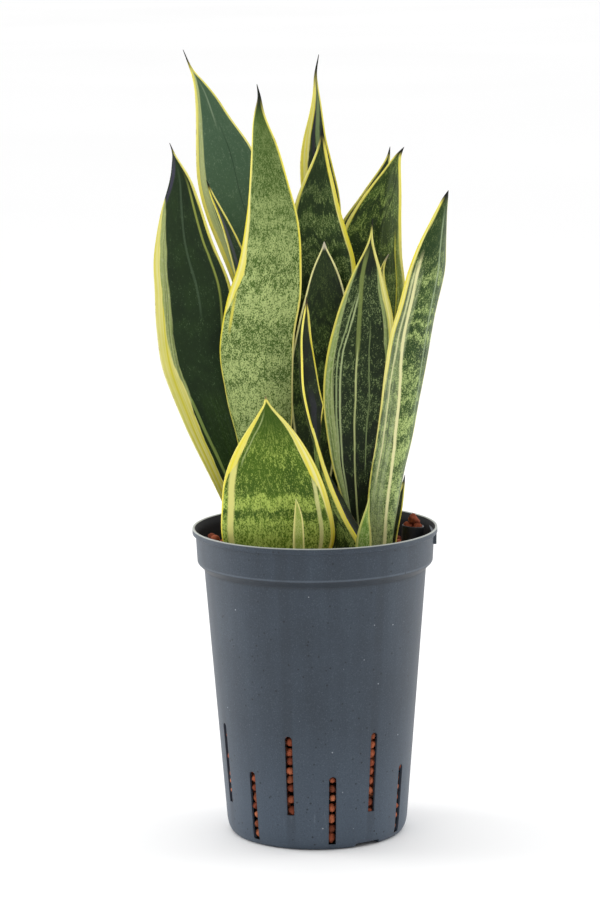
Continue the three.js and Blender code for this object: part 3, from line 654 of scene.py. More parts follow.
def leaf_look(name, seed, dark, mid, pale, cover=0.2, banding=0.6, left=((0, 1),), right=((0, 1),),
              olive_left=((0, 0),), olive_right=((0, 0),), yellow="f2e335", olive="93a352", stripes=(),
              belts=(), shade=((0, 0),), tip="15170f", tip_reach=9.0, pitch=8.5, broad=38.0):
    """A variegated blade. dark, mid and pale are the ground, its light bands and the
    flecks, which cover is the share of and banding gathers into wavy cross bands of
    about pitch mm. broad is the blade's greatest width.
    left and right are the yellow margins, and olive_* the bands inside them, as
    (place along, width in mm); belts and shade are lighter and darker stretches as
    (place along, amount). A stripe is a path of (place along, place across), its
    width in mm, where it starts and ends along, its colour and its strength. Along
    is 0 at the foot and 1 at the tip, across is 0 at the left edge and 1 at the right."""
    look = Look(name, specular_ior_level=0.22)
    l_raw, r_raw = look.uv("margins")[:2]
    s_raw, t_raw = look.uv("course")[:2]
    from_left, from_right = look.times(l_raw, 100), look.times(r_raw, 100)
    run, to_tip = look.times(s_raw, 100), look.times(t_raw, 100)
    width = look.add(from_left, from_right)
    course = look.math("DIVIDE", run, look.add(run, to_tip))
    across = look.math("DIVIDE", from_left, look.math("MAXIMUM", width, 0.01))
    lane = look.times(across, broad)
    shift = seed * 13.7

    def field(per_mm_across, per_mm_along, detail=2, roughness=0.5, extra=0.0, along=None):
        x = look.add(look.times(lane, per_mm_across), shift + extra)
        y = look.add(look.times(along or run, per_mm_along), shift * 0.7)
        return look.noise(look.vector(x, y, 0.37 * seed + extra), 1.0, detail, roughness)

    def profile(stops, along=None):
        """A number that follows its stops along the blade."""
        most = max(max(value for _, value in stops), 0.01)
        return look.times(look.ramp(along or course, [(p, v / most) for p, v in stops], grey=True), most)

    streak = field(0.8, 0.008, 4, 0.6)
    fine = field(2.6, 0.02, 3, 0.6, 3)
    cloud = field(0.05, 0.03, 3, 0.55, 5)
    ragged = look.span(field(0.7, 0.06, 3, 0.65, 7), 0.2, 0.8, -4.5, 4.5, smooth=False)
    zigzag = look.span(field(0.14, 0.02, 1.5, 0.5, 19), 0.25, 0.75, -6, 6, smooth=False)
    jitter = look.add(ragged, zigzag)
    band = field(0.02, 1 / pitch, 1.5, 0.5, 9, look.add(run, jitter))
    coarse, small = field(0.6, 0.25, 3, 0.6, 11), field(1.6, 0.9, 3, 0.75, 15)
    fleck = look.add(look.times(coarse, 0.3), look.times(small, 0.7))

    # Green ground with ragged light bands, made of pale flecks.
    light = look.times(look.span(band, 0.44, 0.58), banding)
    if belts:
        light = look.add(light, profile(belts, look.add(course, look.times(jitter, 0.0035))))
    speckle = field(1.3, 0.5, 3, 0.7, 25)
    light = look.math("MINIMUM", light, 1.0)
    ground = look.mix(look.add(look.times(light, 0.7), look.span(cloud, 0.35, 0.65, 0, 0.3)), dark, mid)
    density = look.add(look.times(light, 0.36), cover)
    threshold = look.minus(0.64, look.times(density, 0.24))
    flecked = look.span(look.minus(fleck, threshold), -0.035, 0.06)
    strength = look.add(look.times(light, 0.3), 0.6 + 0.25 * min(cover, 1))
    colour = look.mix(look.times(flecked, strength), ground, pale)
    colour = look.mix(look.span(streak, 0.4, 0.7, 0.0, 0.22), colour, dark)
    colour = look.mix(profile(shade), colour, dark)

    for path, wide, start, end, tone, amount in stripes:
        line = look.ramp(course, [(p, v) for p, v in path], grey=True)
        away = look.times(look.math("ABSOLUTE", look.minus(across, line)), width)
        ragged = look.add(away, look.span(fine, 0.2, 0.8, -0.3, 0.3))
        soft = 0.2 + 0.1 * wide
        shape = look.span(ragged, wide * 0.5 + soft, wide * 0.5 - soft)
        begun = look.span(course, start - 0.01, start + 0.04)
        ends = look.times(begun, look.span(course, end + 0.01, end - 0.06))
        worn = look.add(look.times(flecked, 0.25), amount - 0.2)
        paint = tone
        if wide > 5:  # A broad stripe is broken up by streaks and pale flecks.
            worn = look.times(worn, look.span(streak, 0.56, 0.42, 0.45, 1.0))
            paint = look.mix(look.span(speckle, 0.5, 0.62, 0.0, 0.6), paint, pale)
        colour = look.mix(look.times(look.times(shape, ends), worn), colour, paint)

    # The margins: an olive band, then yellow to the edge, both with fine streaks.
    wander = look.add(look.span(field(0.0, 0.03, 3, 0.6, 13), 0.2, 0.8, -0.12, 0.12), 1.0)
    ragged = look.span(fine, 0.2, 0.8, -0.4, 0.4)
    tint = look.span(streak, 0.34, 0.68)
    yellow_tone = look.mix(tint, yellow, CREAM)
    yellow_tone = look.mix(look.span(cloud, 0.5, 0.7, 0, 0.25), yellow_tone, "cfd25c")
    olive_tone = look.mix(tint, olive, look.mix(0.6, olive, "cdd597"))
    olive_tone = look.mix(look.span(speckle, 0.5, 0.62, 0.0, 0.5), olive_tone, "d5dba6")
    olive_tone = look.mix(look.span(field(1.1, 0.01, 3, 0.6, 23), 0.53, 0.6, 0.0, 0.5), olive_tone, mid)
    for distance, widths, inner in ((from_left, left, olive_left), (from_right, right, olive_right)):
        reach = look.times(profile(widths), wander)
        beyond = look.minus(look.add(distance, ragged), reach)
        shows = look.span(reach, 0.02, 0.3)
        if max(value for _, value in inner) > 0:
            band_reach = profile(inner)
            past = look.minus(beyond, band_reach)
            olive_mask = look.times(look.span(past, 0.5, -0.4), look.span(band_reach, 0.2, 0.8))
            colour = look.mix(look.times(olive_mask, 0.88), colour, olive_tone)
        colour = look.mix(look.times(look.span(beyond, 0.3, -0.3), shows), colour, yellow_tone)
    edge = look.math("MINIMUM", from_left, from_right)
    rust = look.times(look.span(edge, 0.45, 0.1), look.span(field(0.3, 0.12, 4, 0.7, 17), 0.52, 0.7))
    colour = look.mix(look.times(rust, 0.45), colour, "96702f")

    # The dry tip, and the foot that stood in damp clay.
    colour = look.mix(look.span(to_tip, tip_reach, tip_reach * 0.35), colour, tip)
    colour = look.mix(look.span(run, 20.0, 8.0, 0.0, 0.5), colour, "b9bf8a")

    rough = look.add(look.span(streak, 0.3, 0.7, 0.4, 0.5), look.times(flecked, 0.06))
    height = look.add(look.times(fine, 0.5), look.times(streak, 0.6))
    normal = look.bump(look.add(height, look.times(flecked, 0.1)), 0.28, 0.3)
    normal = look.bump(cloud, 0.3, 1.6, normal)
    return look.finish(colour, rough, normal)


LEAVES = {
    "leaf_far_left": dict(
        broad=49, seed=1, dark="1b2c15", mid="2b431d", pale="5b734e", cover=0.12, banding=0.3,
        left=((0, 6), (0.18, 8), (0.3, 9), (0.42, 10.6), (0.53, 8.4), (0.65, 5.2), (0.76, 4), (0.84, 1.2),
              (0.88, 0)),
        olive_left=((0.4, 0), (0.46, 2), (0.53, 4), (0.65, 5.4), (0.76, 5), (0.84, 2.5), (0.88, 0)),
        olive="9aab5c",
        yellow="e9de45",
        right=((0.3, 0.4), (0.55, 1.2), (0.9, 1.4), (1, 0.8)),
        stripes=[
            (((0, 0.62), (0.45, 0.62)), 24.0, 0.0, 0.46, "2f4a10", 0.75),
            (((0.2, 0.33), (0.3, 0.29), (0.42, 0.24), (0.5, 0.16)), 2.0, 0.18, 0.52, "94a95a", 1.0),
            (((0.55, 0.84), (0.75, 0.86), (0.93, 0.8)), 1.2, 0.5, 0.93, "a3ae50", 1.0),
            (((0.86, 0.04), (0.98, 0.2)), 2.5, 0.85, 0.99, "4a4460", 0.8),
            (((0.6, 0.6), (0.93, 0.5)), 1.4, 0.6, 0.95, "5d7358", 0.55)],
        belts=((0, 0.3), (0.3, 0.2), (0.4, 0))),
    "leaf_tall_back_left": dict(
        seed=2, dark="456046", mid="526c4f", pale="74896c", cover=0.3, banding=0.12,
        left=((0.4, 2.6), (0.6, 2.4), (0.7, 2.0), (0.8, 1.6), (0.9, 1.2), (1, 0.6)), tip_reach=16.0,
        olive_left=((0.5, 5), (0.6, 4.6), (0.7, 4), (0.8, 3), (0.95, 0.8)), olive="c0ca86",
        right=((0, 1.1), (1, 0.9)),
        stripes=[(((0.7, 0.59), (0.84, 0.6)), 0.5, 0.55, 0.86, "2a3c2b", 0.9),
                 (((0.8, 0.5), (0.95, 0.55)), 0.9, 0.84, 0.95, "94a687", 0.8)], fold=1.5),
    "leaf_tall_front_left": dict(
        seed=3, dark="3e5a1a", mid="647f38", pale="c6d68a", cover=0.56, banding=0.42, pitch=9,
        left=((0, 0.5), (0.45, 0.6), (0.54, 1), (0.575, 4.4), (0.62, 6.2), (0.68, 3.6), (0.78, 1.4),
              (0.9, 0.7)),
        right=((0, 0.9), (1, 0.9)), stripes=[(((0.5, 0.125), (0.6, 0.11)), 1.8, 0.5, 0.6, "ded559", 1.1)],
        shade=((0.62, 0), (0.75, 0.3), (0.87, 0.6), (0.96, 0.95)), tip="161d14", tip_reach=22.0),
    "leaf_tall_back_middle": dict(
        broad=26, seed=4, dark="232f22", mid="3d5030", pale="7f9464", cover=0.2, banding=0.3,
        left=((0, 4.6), (0.82, 4.6), (0.93, 2), (1, 0.5)), right=((0, 0.7), (1, 0.5)), tip_reach=24.0,
        stripes=[(((0.7, 0.62), (0.95, 0.6)), 3.0, 0.3, 0.96, "8aa06a", 0.85),
                 (((0.7, 0.42), (0.95, 0.42)), 1.5, 0.3, 0.96, "35323f", 0.95)], fold=1.5),
    "leaf_middle": dict(
        seed=5, dark="203213", mid="3d5622", pale="9db06c", cover=0.16, banding=0.9,
        left=((0, 1.6), (0.75, 2.4), (0.9, 1.4), (1, 0.8)),
        right=((0, 1.6), (0.75, 2.6), (0.9, 1.8), (1, 0.8)),
        shade=((0.8, 0), (0.9, 0.6)), tip_reach=16.0),
    "leaf_back_right": dict(
        seed=6, dark="22350f", mid="45601d", pale="a0b45e", cover=0.24, banding=0.75,
        left=((0, 2), (0.7, 2.6), (0.9, 1.4), (1, 0.6)), right=((0.6, 0.6), (0.8, 1.6), (0.95, 1.4)),
        olive_right=((0.55, 5), (0.7, 3.5), (0.8, 0.6), (0.9, 0)), olive="8a9c2e", fold=1.25,
        stripes=[(((0.5, 0.72), (0.8, 0.8), (0.95, 0.9)), 13.0, 0.3, 0.98, "7c8b66", 0.5),
                 (((0.5, 0.86), (0.8, 0.9)), 0.9, 0.2, 0.8, "d8d253", 1.0),
                 (((0.5, 0.52), (0.79, 0.61), (0.87, 0.73), (0.97, 0.9)), 0.6, 0.3, 0.97, "19230f", 0.8)]),
    "leaf_behind_right": dict(
        seed=7, dark="22311a", mid="35482a", pale="74885a", cover=0.2, banding=0.5,
        left=((0, 2), (0.75, 2.2), (0.95, 0.8)), right=((0, 1), (1, 0.6))),
    "leaf_far_right": dict(
        broad=28, seed=8, dark="213a15", mid="557230", pale="bccf80", cover=0.34, banding=0.8,
        left=((0, 0.3), (0.34, 0.6), (0.47, 1.1), (0.6, 2.2), (0.72, 2.3), (0.85, 1.8), (0.95, 1.4),
              (1, 0.6)),
        right=((0, 0.25), (1, 0.5)),
        stripes=[
            (((0, 0.26), (0.28, 0.24), (0.4, 0.2), (0.53, 0.17), (0.6, 0.2), (0.8, 0.18)), 8.0, 0.0, 0.82,
             "b3bf92", 0.72),
            (((0.3, 0.06), (0.6, 0.1), (0.8, 0.09)), 0.6, 0.2, 0.82, "4f5f4c", 0.9),
            (((0.3, 0.17), (0.5, 0.14), (0.6, 0.17), (0.8, 0.14)), 0.9, 0.25, 0.84, "dfe1a6", 1.05),
            (((0.3, 0.25), (0.5, 0.22), (0.6, 0.22), (0.8, 0.17)), 0.5, 0.2, 0.82, "5d6d52", 0.8),
            (((0.11, 0.53), (0.17, 0.51), (0.28, 0.48), (0.4, 0.4), (0.53, 0.33), (0.6, 0.27), (0.8, 0.2)),
             1.6, 0.0, 0.85, "efecae", 1.25),
            (((0.47, 0.82), (0.6, 0.77), (0.85, 0.66), (0.95, 0.6)), 1.1, 0.42, 0.96, "97a980", 0.9),
            (((0.2, 0.93), (0.9, 0.9)), 2.2, 0.1, 0.9, "5f6f55", 0.7)],
        belts=((0, 0.6), (0.35, 0.4), (0.5, 0)), shade=((0.75, 0), (0.86, 0.7))),
    "leaf_front_right": dict(
        seed=9, dark="0e1a06", mid="253915", pale="93a76c", cover=0.02, banding=0.85, pitch=9,
        left=((0, 0.5), (0.6, 0.9), (0.8, 1.0), (0.95, 0.9)),
        olive_left=((0.1, 1), (0.22, 3), (0.36, 5), (0.5, 5.4), (0.64, 4.2), (0.8, 1.5), (0.9, 0)),
        olive="87a052",
        right=((0.2, 0.6), (0.5, 1.0), (0.6, 1.8), (0.66, 3.6), (0.78, 3.0), (0.86, 1.6), (0.95, 1)),
        olive_right=((0.3, 1), (0.5, 2.5), (0.6, 3.5), (0.8, 2.2), (0.88, 0)), yellow="dcd346",
        stripes=[
            (((0.22, 0.1), (0.36, 0.17), (0.5, 0.19), (0.64, 0.17), (0.8, 0.3)), 0.9, 0.15, 0.8,
             "a9ba80", 1.1),
            (((0.22, 0.16), (0.36, 0.22), (0.5, 0.245), (0.64, 0.23), (0.8, 0.36)), 1.0, 0.12, 0.82,
             "b9c78f", 1.15),
            (((0.2, 0.4), (0.36, 0.456), (0.5, 0.48), (0.64, 0.45)), 1.1, 0.0, 0.68, "cbd38f", 1.2),
            (((0.5, 0.48), (0.64, 0.45), (0.78, 0.41), (0.92, 0.3)), 2.6, 0.62, 0.93, "8d9c55", 0.95),
            (((0.36, 0.66), (0.5, 0.69), (0.64, 0.62)), 0.7, 0.3, 0.72, "8d9f66", 1.0)],
        belts=((0, 0), (0.25, 0), (0.4, 0.25), (0.55, 0.5), (0.68, 0.6), (0.78, 0.3), (0.85, 0)), fold=1.4),
    "leaf_short_middle": dict(
        seed=10, dark="16240c", mid="3a5020", pale="7f9550", cover=0.16, banding=0.7,
        left=((0, 1.0), (0.8, 0.9), (1, 0.6)), right=((0, 1.0), (0.8, 0.8), (1, 0.6)), yellow="ece9b0",
        belts=((0, 0.3), (0.6, 0.4), (0.75, 0)), shade=((0.7, 0), (0.85, 0.6)), tip="cfc7ae", tip_reach=6.0),
    "leaf_folded": dict(
        kept=((0, 0.85), (0.16, 0.85), (0.3, 0.75), (0.4, 0.6), (0.48, 0.6), (0.62, 1), (1, 1)),
        broad=21, seed=11,
        dark="151d0e", mid="2b3b18", pale="5c6f3e", cover=0.15, banding=0.5, yellow="f6e51c", tip="3a2b20",
        left=((0, 2.8), (0.3, 2.5), (0.7, 2.0), (0.9, 1.5), (1, 0.9)),
        right=((0, 0), (0.55, 0), (0.6, 0.4), (0.8, 0.5), (0.9, 1.0), (1, 0.6)),
        stripes=[(((0.1, 0.72), (0.9, 0.72)), 4.5, 0.1, 0.7, "34343e", 0.85),
                 (((0.1, 0.26), (0.9, 0.36)), 0.9, 0.3, 0.95, "93a070", 1.0),
                 (((0.1, 0.42), (0.9, 0.5)), 0.6, 0.4, 0.95, "707c60", 0.9)]),
    "leaf_front_broad": dict(
        broad=66, seed=12, fold=1.45, dark="345204", mid="5f7f1c", pale="bdd163", cover=0.36,
        banding=0.3, pitch=9,
        left=((0, 0.5), (0.52, 0.6), (0.6, 1.6), (0.66, 4.6), (0.75, 4.4), (0.85, 2.4), (0.95, 1)),
        right=((0, 3.0), (0.45, 3.0), (0.53, 3.6), (0.6, 5.8), (0.73, 5), (0.85, 2.8), (0.95, 1.2)),
        stripes=[
            (((0.33, 0.083), (0.47, 0.087), (0.6, 0.08), (0.7, 0.06)), 3.9, 0.0, 0.69, "e4e083", 1.2),
            (((0.27, 0.875), (0.47, 0.89), (0.6, 0.92)), 2.4, 0.0, 0.6, "dfe092", 1.1),
            (((0.68, 0.15), (0.8, 0.2), (0.9, 0.28)), 0.9, 0.64, 0.93, "aab873", 0.9)],
        belts=((0, 0.5), (0.27, 0.8), (0.36, 0.8), (0.39, 0), (0.415, 0), (0.43, 0.9), (0.48, 0.9),
               (0.51, 0.1)),
        shade=((0.7, 0), (0.86, 0.8)), tip="8a7a52", tip_reach=3.0),
    "leaf_small_behind": dict(
        broad=14, seed=13, dark="263718", mid="3f5528", pale="7f9259", cover=0.2, banding=0.5,
        left=((0, 0.8), (1, 0.5)), right=((0, 1), (0.6, 2.2), (1, 0.8)), tip="b0a68f", tip_reach=7.0),
    "leaf_small_right": dict(
        broad=9, seed=14, dark="26331d", mid="3a4a2a", pale="74855c", cover=0.2, banding=0.4,
        left=((0, 3.4), (0.7, 2.8), (1, 1.0)), right=((0, 0.4), (1, 0.4)), yellow="efe34a"),
    "leaf_narrow_left": dict(
        broad=13, seed=15, dark="2f4028", mid="3c5232", pale="6a7f5c", cover=0.2, banding=0.3,
        left=((0, 0.9), (1, 0.7)), right=((0, 1.0), (1, 0.7)), fold=1.4,
        stripes=[(((0.5, 0.3), (0.95, 0.3)), 2.0, 0.4, 0.96, "5b5a6c", 0.8)]),
    "pup_front": dict(
        broad=9, seed=16, dark="8ba03c", mid="a2b452", pale="c5cc7a", cover=0.5, banding=0.5,
        left=((0, 1.3), (0.6, 1.0), (1, 0.5)), right=((0, 0.8), (1, 0.4)), yellow="ccc95e", tip="c3c878",
        tip_reach=3.0),
    "pup_right": dict(
        broad=9, seed=17, dark="63892f", mid="7d9f42", pale="b4c878", cover=0.45, banding=0.5,
        left=((0, 1.5), (0.6, 1.2), (1, 0.6)), right=((0, 1.0), (1, 0.5)), yellow="b1bb55", tip="9aa860",
        tip_reach=3.0),
}

for leaf, settings in LEAVES.items():
    settings = dict(settings)
    fold = settings.pop("fold", 2.0)
    kept = settings.pop("kept", ((0, 1), (1, 1)))
    young = leaf.startswith("pup")
    make_blade(leaf, leaf_look(leaf + "_skin", **settings), fold,
               wavy=0.3 if young else 0.8, seed=settings["seed"], across=17 if young else 29, kept=kept)


def make_folded_back():
    """The outer half of the folded leaf, bent back to the left of its yellow edge.
    It goes behind the broad front leaf, and narrows to nothing above it."""
    table = sections_of("leaf_folded")
    heights = np.linspace(table[0, 0] + 1, table[-1, 0], 120)
    mid_x, mid_y, angle, half, depth, thick = eased(table, heights).T
    side = np.stack([np.cos(angle), np.sin(angle), 0 * angle], 1)
    face = np.stack([np.sin(angle), -np.cos(angle), 0 * angle], 1)
    edge = np.stack([mid_x, mid_y, heights], 1) - side * half[:, None] + face * depth[:, None]
    course = (heights - heights[0]) / (heights[-1] - heights[0])
    reach = np.interp(course, [0, 0.12, 0.18, 0.24, 0.3, 0.36, 0.43, 0.5, 0.56],
                      [24, 22.5, 16, 12.3, 9.8, 8.2, 6, 3, 0])
    keep = course < 0.56
    edge, reach = edge[keep], reach[keep]
    count, steps = len(edge), 17
    place = np.linspace(0, 1, steps)
    toward, facing = np.array((-0.92, 0.39, 0.0)), np.array((-0.39, -0.92, 0.0))
    middle = (edge[:, None] - toward * 0.3 + toward * (reach[:, None] * place)[..., None]
              + facing * (reach[:, None] * 0.08 * np.sin(place * math.pi))[..., None])
    front, behind = middle + facing * 0.35, middle - facing * 0.35
    rings = np.concatenate([front, behind[:, ::-1]], axis=1)
    size = 2 * steps
    across = np.concatenate([place, place[::-1]])[None] * reach[:, None]
    run = np.repeat((heights[keep] - heights[0])[:, None], size, 1)
    uvs = distance_maps(reach[:, None] - across, across, run, heights[-1] - heights[0] - run)
    look = leaf_look("leaf_folded_back_skin", 21, dark="16240a", mid="3f5c16", pale="a5b962",
                     cover=0.22, banding=1.0,
                     left=((0, 0),), right=((0, 2.8), (0.35, 2.4), (0.56, 1.4)), yellow="f6e51c", pitch=10)
    add_piece("leaf_folded_back", rings.reshape(-1, 3), ring_faces(count, size, flipped=True), look,
              ["leaf_folded"], uvs)


make_folded_back()


# ------------------------------------------------------------------ the clay

def pebble_shapes(count, subdivisions, craggy=1.0):
    """Lumpy ball shapes of radius 1, as [points, faces]."""
    shapes = []
    for k in range(count):
        work = bmesh.new()
        bmesh.ops.create_icosphere(work, subdivisions=subdivisions, radius=1.0)
        points = np.array([v.co[:] for v in work.verts])
        faces = np.array([[v.index for v in f.verts] for f in work.faces])
        work.free()
        lump = np.array([noise.noise(Vector(p) * 1.1 + Vector((k * 7.1, 3.3, 1.7))) for p in points])
        knob = np.array([noise.noise(Vector(p) * 2.9 + Vector((1.9, k * 5.3, 4.1))) for p in points])
        crack = np.array([abs(noise.noise(Vector(p) * 1.9 + Vector((6.4, 2.2, k * 3.7)))) for p in points])
        points = points * (0.97 + craggy * (0.16 * lump + 0.07 * knob - 0.1 * np.exp(-crack * 14)))[:, None]
        shapes.append((points, faces))
    return shapes


def pebbles_mesh(name, places, shapes, material, replaced, rng, squash=0.85):
    """One mesh of many pebbles at [x, y, z, radius], each with its own tone."""
    verts, faces, tones, start = [], [], [], 0
    for x, y, z, radius in places:
        points, tris = shapes[rng.integers(len(shapes))]
        stretch = np.array((rng.uniform(0.9, 1.15), rng.uniform(0.9, 1.1), rng.uniform(squash, 1.0)))
        spin = np.array(Euler(rng.uniform(-math.pi, math.pi, 3)).to_matrix())
        verts.append((points * stretch) @ spin.T * radius + (x, y, z))
        faces.append(tris + start)
        tones.append(np.full((len(points), 2), (rng.uniform(), rng.uniform())))
        start += len(points)
    uvs = {"tone": np.concatenate(tones)}
    faces = [tuple(int(v) for v in face) for face in np.concatenate(faces)]
    return add_piece(name, np.concatenate(verts), faces, material, replaced, uvs)


def clay_look():
    look = Look("fired_clay", specular_ior_level=0.2)
    place = look.place()
    tone, rust = look.uv("tone")[:2]
    cloud = look.noise(place, 0.35, 4, 0.65)
    grit = look.noise(place, 2.2, 5, 0.75)
    colour = look.ramp(look.add(look.times(tone, 0.55), look.times(cloud, 0.45)), [
        (0.2, "733827"), (0.42, "944c33"), (0.6, "ad6041"), (0.85, "c47b57")])
    colour = look.mix(look.span(rust, 0.8, 0.95, 0.0, 0.45), colour, "55301f")
    flake = look.times(look.span(grit, 0.6, 0.72), look.span(cloud, 0.4, 0.6))
    colour = look.mix(look.times(flake, 0.35), colour, "c79a6c")
    pores = look.voronoi(place, 1.7)
    hole = look.times(look.span(pores, 0.28, 0.12), look.span(look.noise(place, 0.9, 2), 0.5, 0.6))
    colour = look.mix(look.times(hole, 0.7), colour, "3a1a12")
    normal = look.bump(grit, 0.5, 0.35)
    normal = look.bump(look.times(look.span(pores, 0.3, 0.05), -1.0), 0.5, 0.4, normal)
    return look.finish(colour, look.span(grit, 0.2, 0.8, 0.78, 0.98), normal)


clay = clay_look()
CLAY_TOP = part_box("clay_bed")[1][2] / MM - 1.5
rng = np.random.default_rng(11)
shapes = pebble_shapes(9, 3)

leaf_feet = []
for leaf in LEAVES:
    table = sections_of(leaf)
    at_clay = eased(table, np.array([CLAY_TOP - 2, CLAY_TOP + 3]))
    for x, y, angle, half, depth, thick in at_clay:
        for place in np.linspace(-1, 1, 9):
            face = np.array((math.sin(angle), -math.cos(angle)))
            spot = np.array((x, y)) + half * place * np.array((math.cos(angle), math.sin(angle)))
            leaf_feet.append(spot + face * depth * place ** 2)
leaf_feet = np.array(leaf_feet)


def clear_of_plant(x, y, radius):
    """True where a pebble of this radius stands clear of the blades and sleeve."""
    near_leaf = np.min(np.hypot(*(leaf_feet - (x, y)).T)) < radius + 1.2
    at_top = sleeve_top + sleeve_dir * ((CLAY_TOP - sleeve_top[2]) / sleeve_dir[2])
    near_sleeve = math.hypot(x - at_top[0], y - at_top[1]) < radius + 7.0
    return not (near_leaf or near_sleeve)


def surface_pebbles():
    """Two loose layers of pebbles over the whole bed."""
    places = []
    for level, limit, pitch in ((CLAY_TOP - 4.5, 67.0, 6.6), (CLAY_TOP - 0.6, 66.5, 6.4)):
        rows = int(limit / (pitch * 0.87)) + 1
        for row in range(-rows, rows + 1):
            for column in range(-rows - 3, rows + 4):
                x = (column + 0.5 * (row % 2)) * pitch + rng.normal(0, 0.8)
                y = row * pitch * 0.87 + rng.normal(0, 0.8)
                radius = rng.uniform(2.7, 3.9)
                if math.hypot(x, y) + radius * 0.8 > limit or not clear_of_plant(x, y, radius * 0.8):
                    continue
                places.append((x, y, level + rng.normal(0, 0.7), radius))
    return places


def slot_pebbles():
    """Pebbles pressed into each slot from inside, with darker ones behind and beside."""
    places = []
    for pair in range(7):
        for angle, low, high in (HIGH_SLOT, LOW_SLOT):
            tangent, up, out = outward(angle + pair * SLOT_STEP)
            for column, behind in ((0.0, 0.0), (-4.4, 2.6), (4.6, 2.4), (0.6, 6.0)):
                z = low - rng.uniform(0.0, 3.0) + behind * 0.4
                while z < high + 1:
                    radius = rng.uniform(2.1, 3.2)
                    poke = radius - math.sqrt(max(radius ** 2 - (SLOT_WIDTH / 2) ** 2, 0.0)) - 0.15
                    reach = wall_radius(z) - WALL + (min(poke, 1.3) if behind == 0 else -0.2 - behind)
                    spot = tangent * (column + rng.normal(0, 0.25)) + out * (reach - radius)
                    z = max(z, FLOOR_TOP + radius + 0.4)
                    places.append((spot[0], spot[1], z, radius))
                    z += radius * 1.9 + rng.uniform(-0.3, 1.7 if behind == 0 else 0.6)
    return places


def node_middles(prefix):
    found = []
    for node in sorted(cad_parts):
        if node.startswith(prefix):
            low, high = (np.array(corner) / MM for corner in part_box(node))
            found.append((node, (low + high) / 2, (high - low).mean() / 2))
    return found


def make_clay():
    pebbles_mesh("clay_pebbles_top", surface_pebbles(), shapes, clay, ["clay_bed"], rng)
    pebbles_mesh("clay_pebbles_at_slots", slot_pebbles(), shapes, clay, ["clay_bed"], rng)
    # The shaded mass of clay behind the pebbles that show.
    corner = [
        (0, FLOOR_TOP + 0.5), (FOOT_RADIUS - 8, FLOOR_TOP + 0.5, 1), (wall_radius(10) - 8, 10),
        (wall_radius(165) - 7.5, 165), (63, CLAY_TOP - 5, 3), (0, CLAY_TOP - 4),
    ]
    verts, faces = lathe(subdivided(rounded(corner), 3.0), 160)
    lumpy = []
    for x, y, z in verts:
        push = noise.noise(Vector((x, y, z)) * 0.28)
        radius = math.hypot(x, y)
        scale = 1 + push * 1.2 / max(radius, 12)
        lumpy.append((x * scale, y * scale, max(FLOOR_TOP + 0.4, z + push * 1.1)))
    core = Look("clay_shade", specular_ior_level=0.1)
    place = core.place()
    colour = core.ramp(core.noise(place, 0.3, 4, 0.6), [(0.35, "1c0d08"), (0.65, "43200f")])
    material = core.finish(colour, core.span(core.noise(place, 1.5, 2), 0.2, 0.8, 0.85, 1.0),
                           core.bump(core.noise(place, 0.5, 4, 0.7), 0.6, 1.5))
    add_piece("clay_mass", lumpy, faces, material, ["clay_bed"])
    for node, middle, radius in node_middles("clay_pebble_"):
        pebbles_mesh(node + "_stone", [(*middle, radius * 1.03)], shapes, clay, [node], rng, 0.9)
    craggy = pebble_shapes(4, 3, 2.4)
    for node, middle, radius in node_middles("gauge_pebble_"):
        pebbles_mesh(node + "_stone", [(*middle, radius * 1.7)], craggy, clay, [node], rng, 0.9)


make_clay()

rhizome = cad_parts["rhizome"]
look = Look("rhizome_skin", specular_ior_level=0.35)
place = look.place()
ring = look.noise(look.vector(0.0, 0.0, look.times(look.split(place)[2], 0.6)), 1, 3, 0.6)
colour = look.ramp(look.noise(place, 0.12, 4, 0.6), [(0.3, "b27a3c"), (0.7, "d7a866")])
rhizome.data.materials.clear()
rhizome.data.materials.append(look.finish(
    look.mix(look.span(ring, 0.5, 0.7, 0.0, 0.4), colour, "8a5a2c"),
    look.span(ring, 0.2, 0.8, 0.5, 0.75), look.bump(ring, 0.4, 0.6)))


# ------------------------------------------------------------------ stage, lights and camera

def make_stage():
    mesh = bpy.data.meshes.new("floor")
    mesh.from_pydata([(-60, -60, 0), (60, -60, 0), (60, 60, 0), (-60, 60, 0)], [], [(0, 1, 2, 3)])
    floor = bpy.data.objects.new("floor", mesh)
    floor.location.z = cad_box[0][2] - 0.0002
    scene.collection.objects.link(floor)
    look = Look("floor_white", roughness=0.9, specular_ior_level=0.1)
    tint = look.noise(look.place(), 0.0005, 2)
    mesh.materials.append(look.finish(look.ramp(tint, [(0.3, 0.93), (0.7, 0.95)], grey=True)))


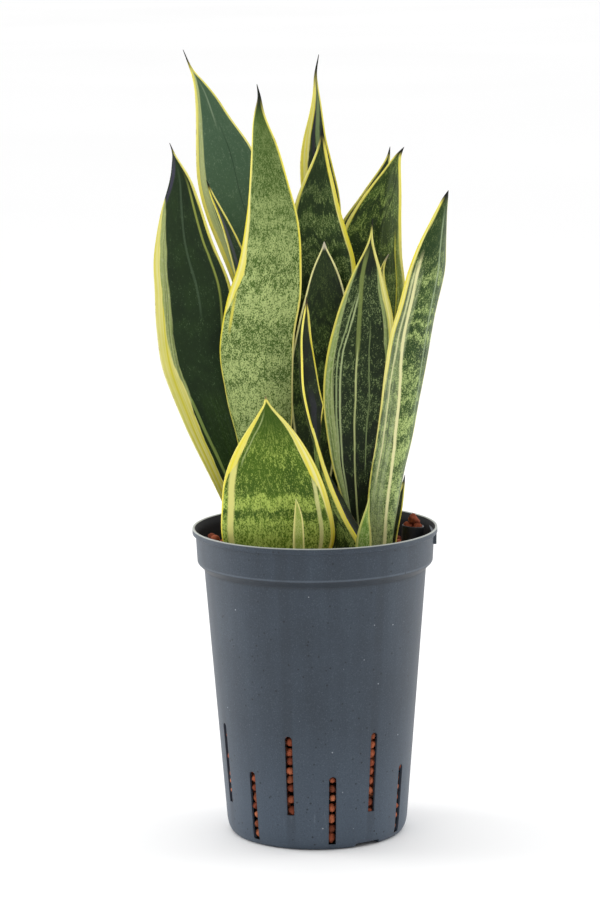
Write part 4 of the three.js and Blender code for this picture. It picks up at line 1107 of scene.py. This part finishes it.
def add_light(name, place, target, size, power, colour=(1, 1, 1)):
    data = bpy.data.lights.new(name, "AREA")
    data.shape = "RECTANGLE"
    data.size, data.size_y = size
    data.energy = power
    data.color = colour
    lamp = bpy.data.objects.new(name, data)
    lamp.location = place
    lamp.rotation_euler = (Vector(target) - Vector(place)).to_track_quat("-Z", "Y").to_euler()
    lamp.visible_camera = False
    scene.collection.objects.link(lamp)


def make_light():
    """A white studio that is brighter above and behind, with soft lamps at the sides."""
    world = bpy.data.worlds.new("studio")
    world.use_nodes = True
    tree = world.node_tree
    background = tree.nodes["Background"]
    background.inputs[0].default_value = (1.0, 1.0, 1.0, 1.0)
    toward = tree.nodes.new("ShaderNodeSeparateXYZ")
    tree.links.new(tree.nodes.new("ShaderNodeTexCoord").outputs["Generated"], toward.inputs[0])
    level, below = 0.72, None
    for axis, share in ((1, 0.42), (2, 0.5)):
        step = tree.nodes.new("ShaderNodeMath")
        step.operation = "MULTIPLY_ADD"
        tree.links.new(toward.outputs[axis], step.inputs[0])
        step.inputs[1].default_value = share
        if below is None:
            step.inputs[2].default_value = level
        else:
            tree.links.new(below, step.inputs[2])
        below = step.outputs[0]
    tree.links.new(below, background.inputs[1])
    scene.world = world
    add_light("side_left", (-1.5, 0.35, 0.75), (0, 0, 0.2), (0.8, 1.6), 12)
    add_light("side_right", (1.5, 0.3, 0.75), (0, 0, 0.2), (0.8, 1.6), 8)
    add_light("key_front", (-1.1, -1.6, 1.7), (0, 0, 0.3), (1.0, 1.0), 3)


def make_camera():
    data = bpy.data.cameras.new("camera")
    data.sensor_width = 36.0
    data.lens = 132.7
    camera = bpy.data.objects.new("camera", data)
    pitch, roll = 0.161, 0.009
    turn = Euler((math.pi / 2 - pitch, 0, 0)).to_matrix() @ Matrix.Rotation(-roll, 3, "Z")
    camera.matrix_world = Matrix.LocRotScale(Vector((-0.0087, -2.0, 0.562)), turn, None)
    scene.collection.objects.link(camera)
    scene.camera = camera


make_stage()
make_light()
make_camera()
scene.view_settings.view_transform = "Standard"
scene.view_settings.look = "None"
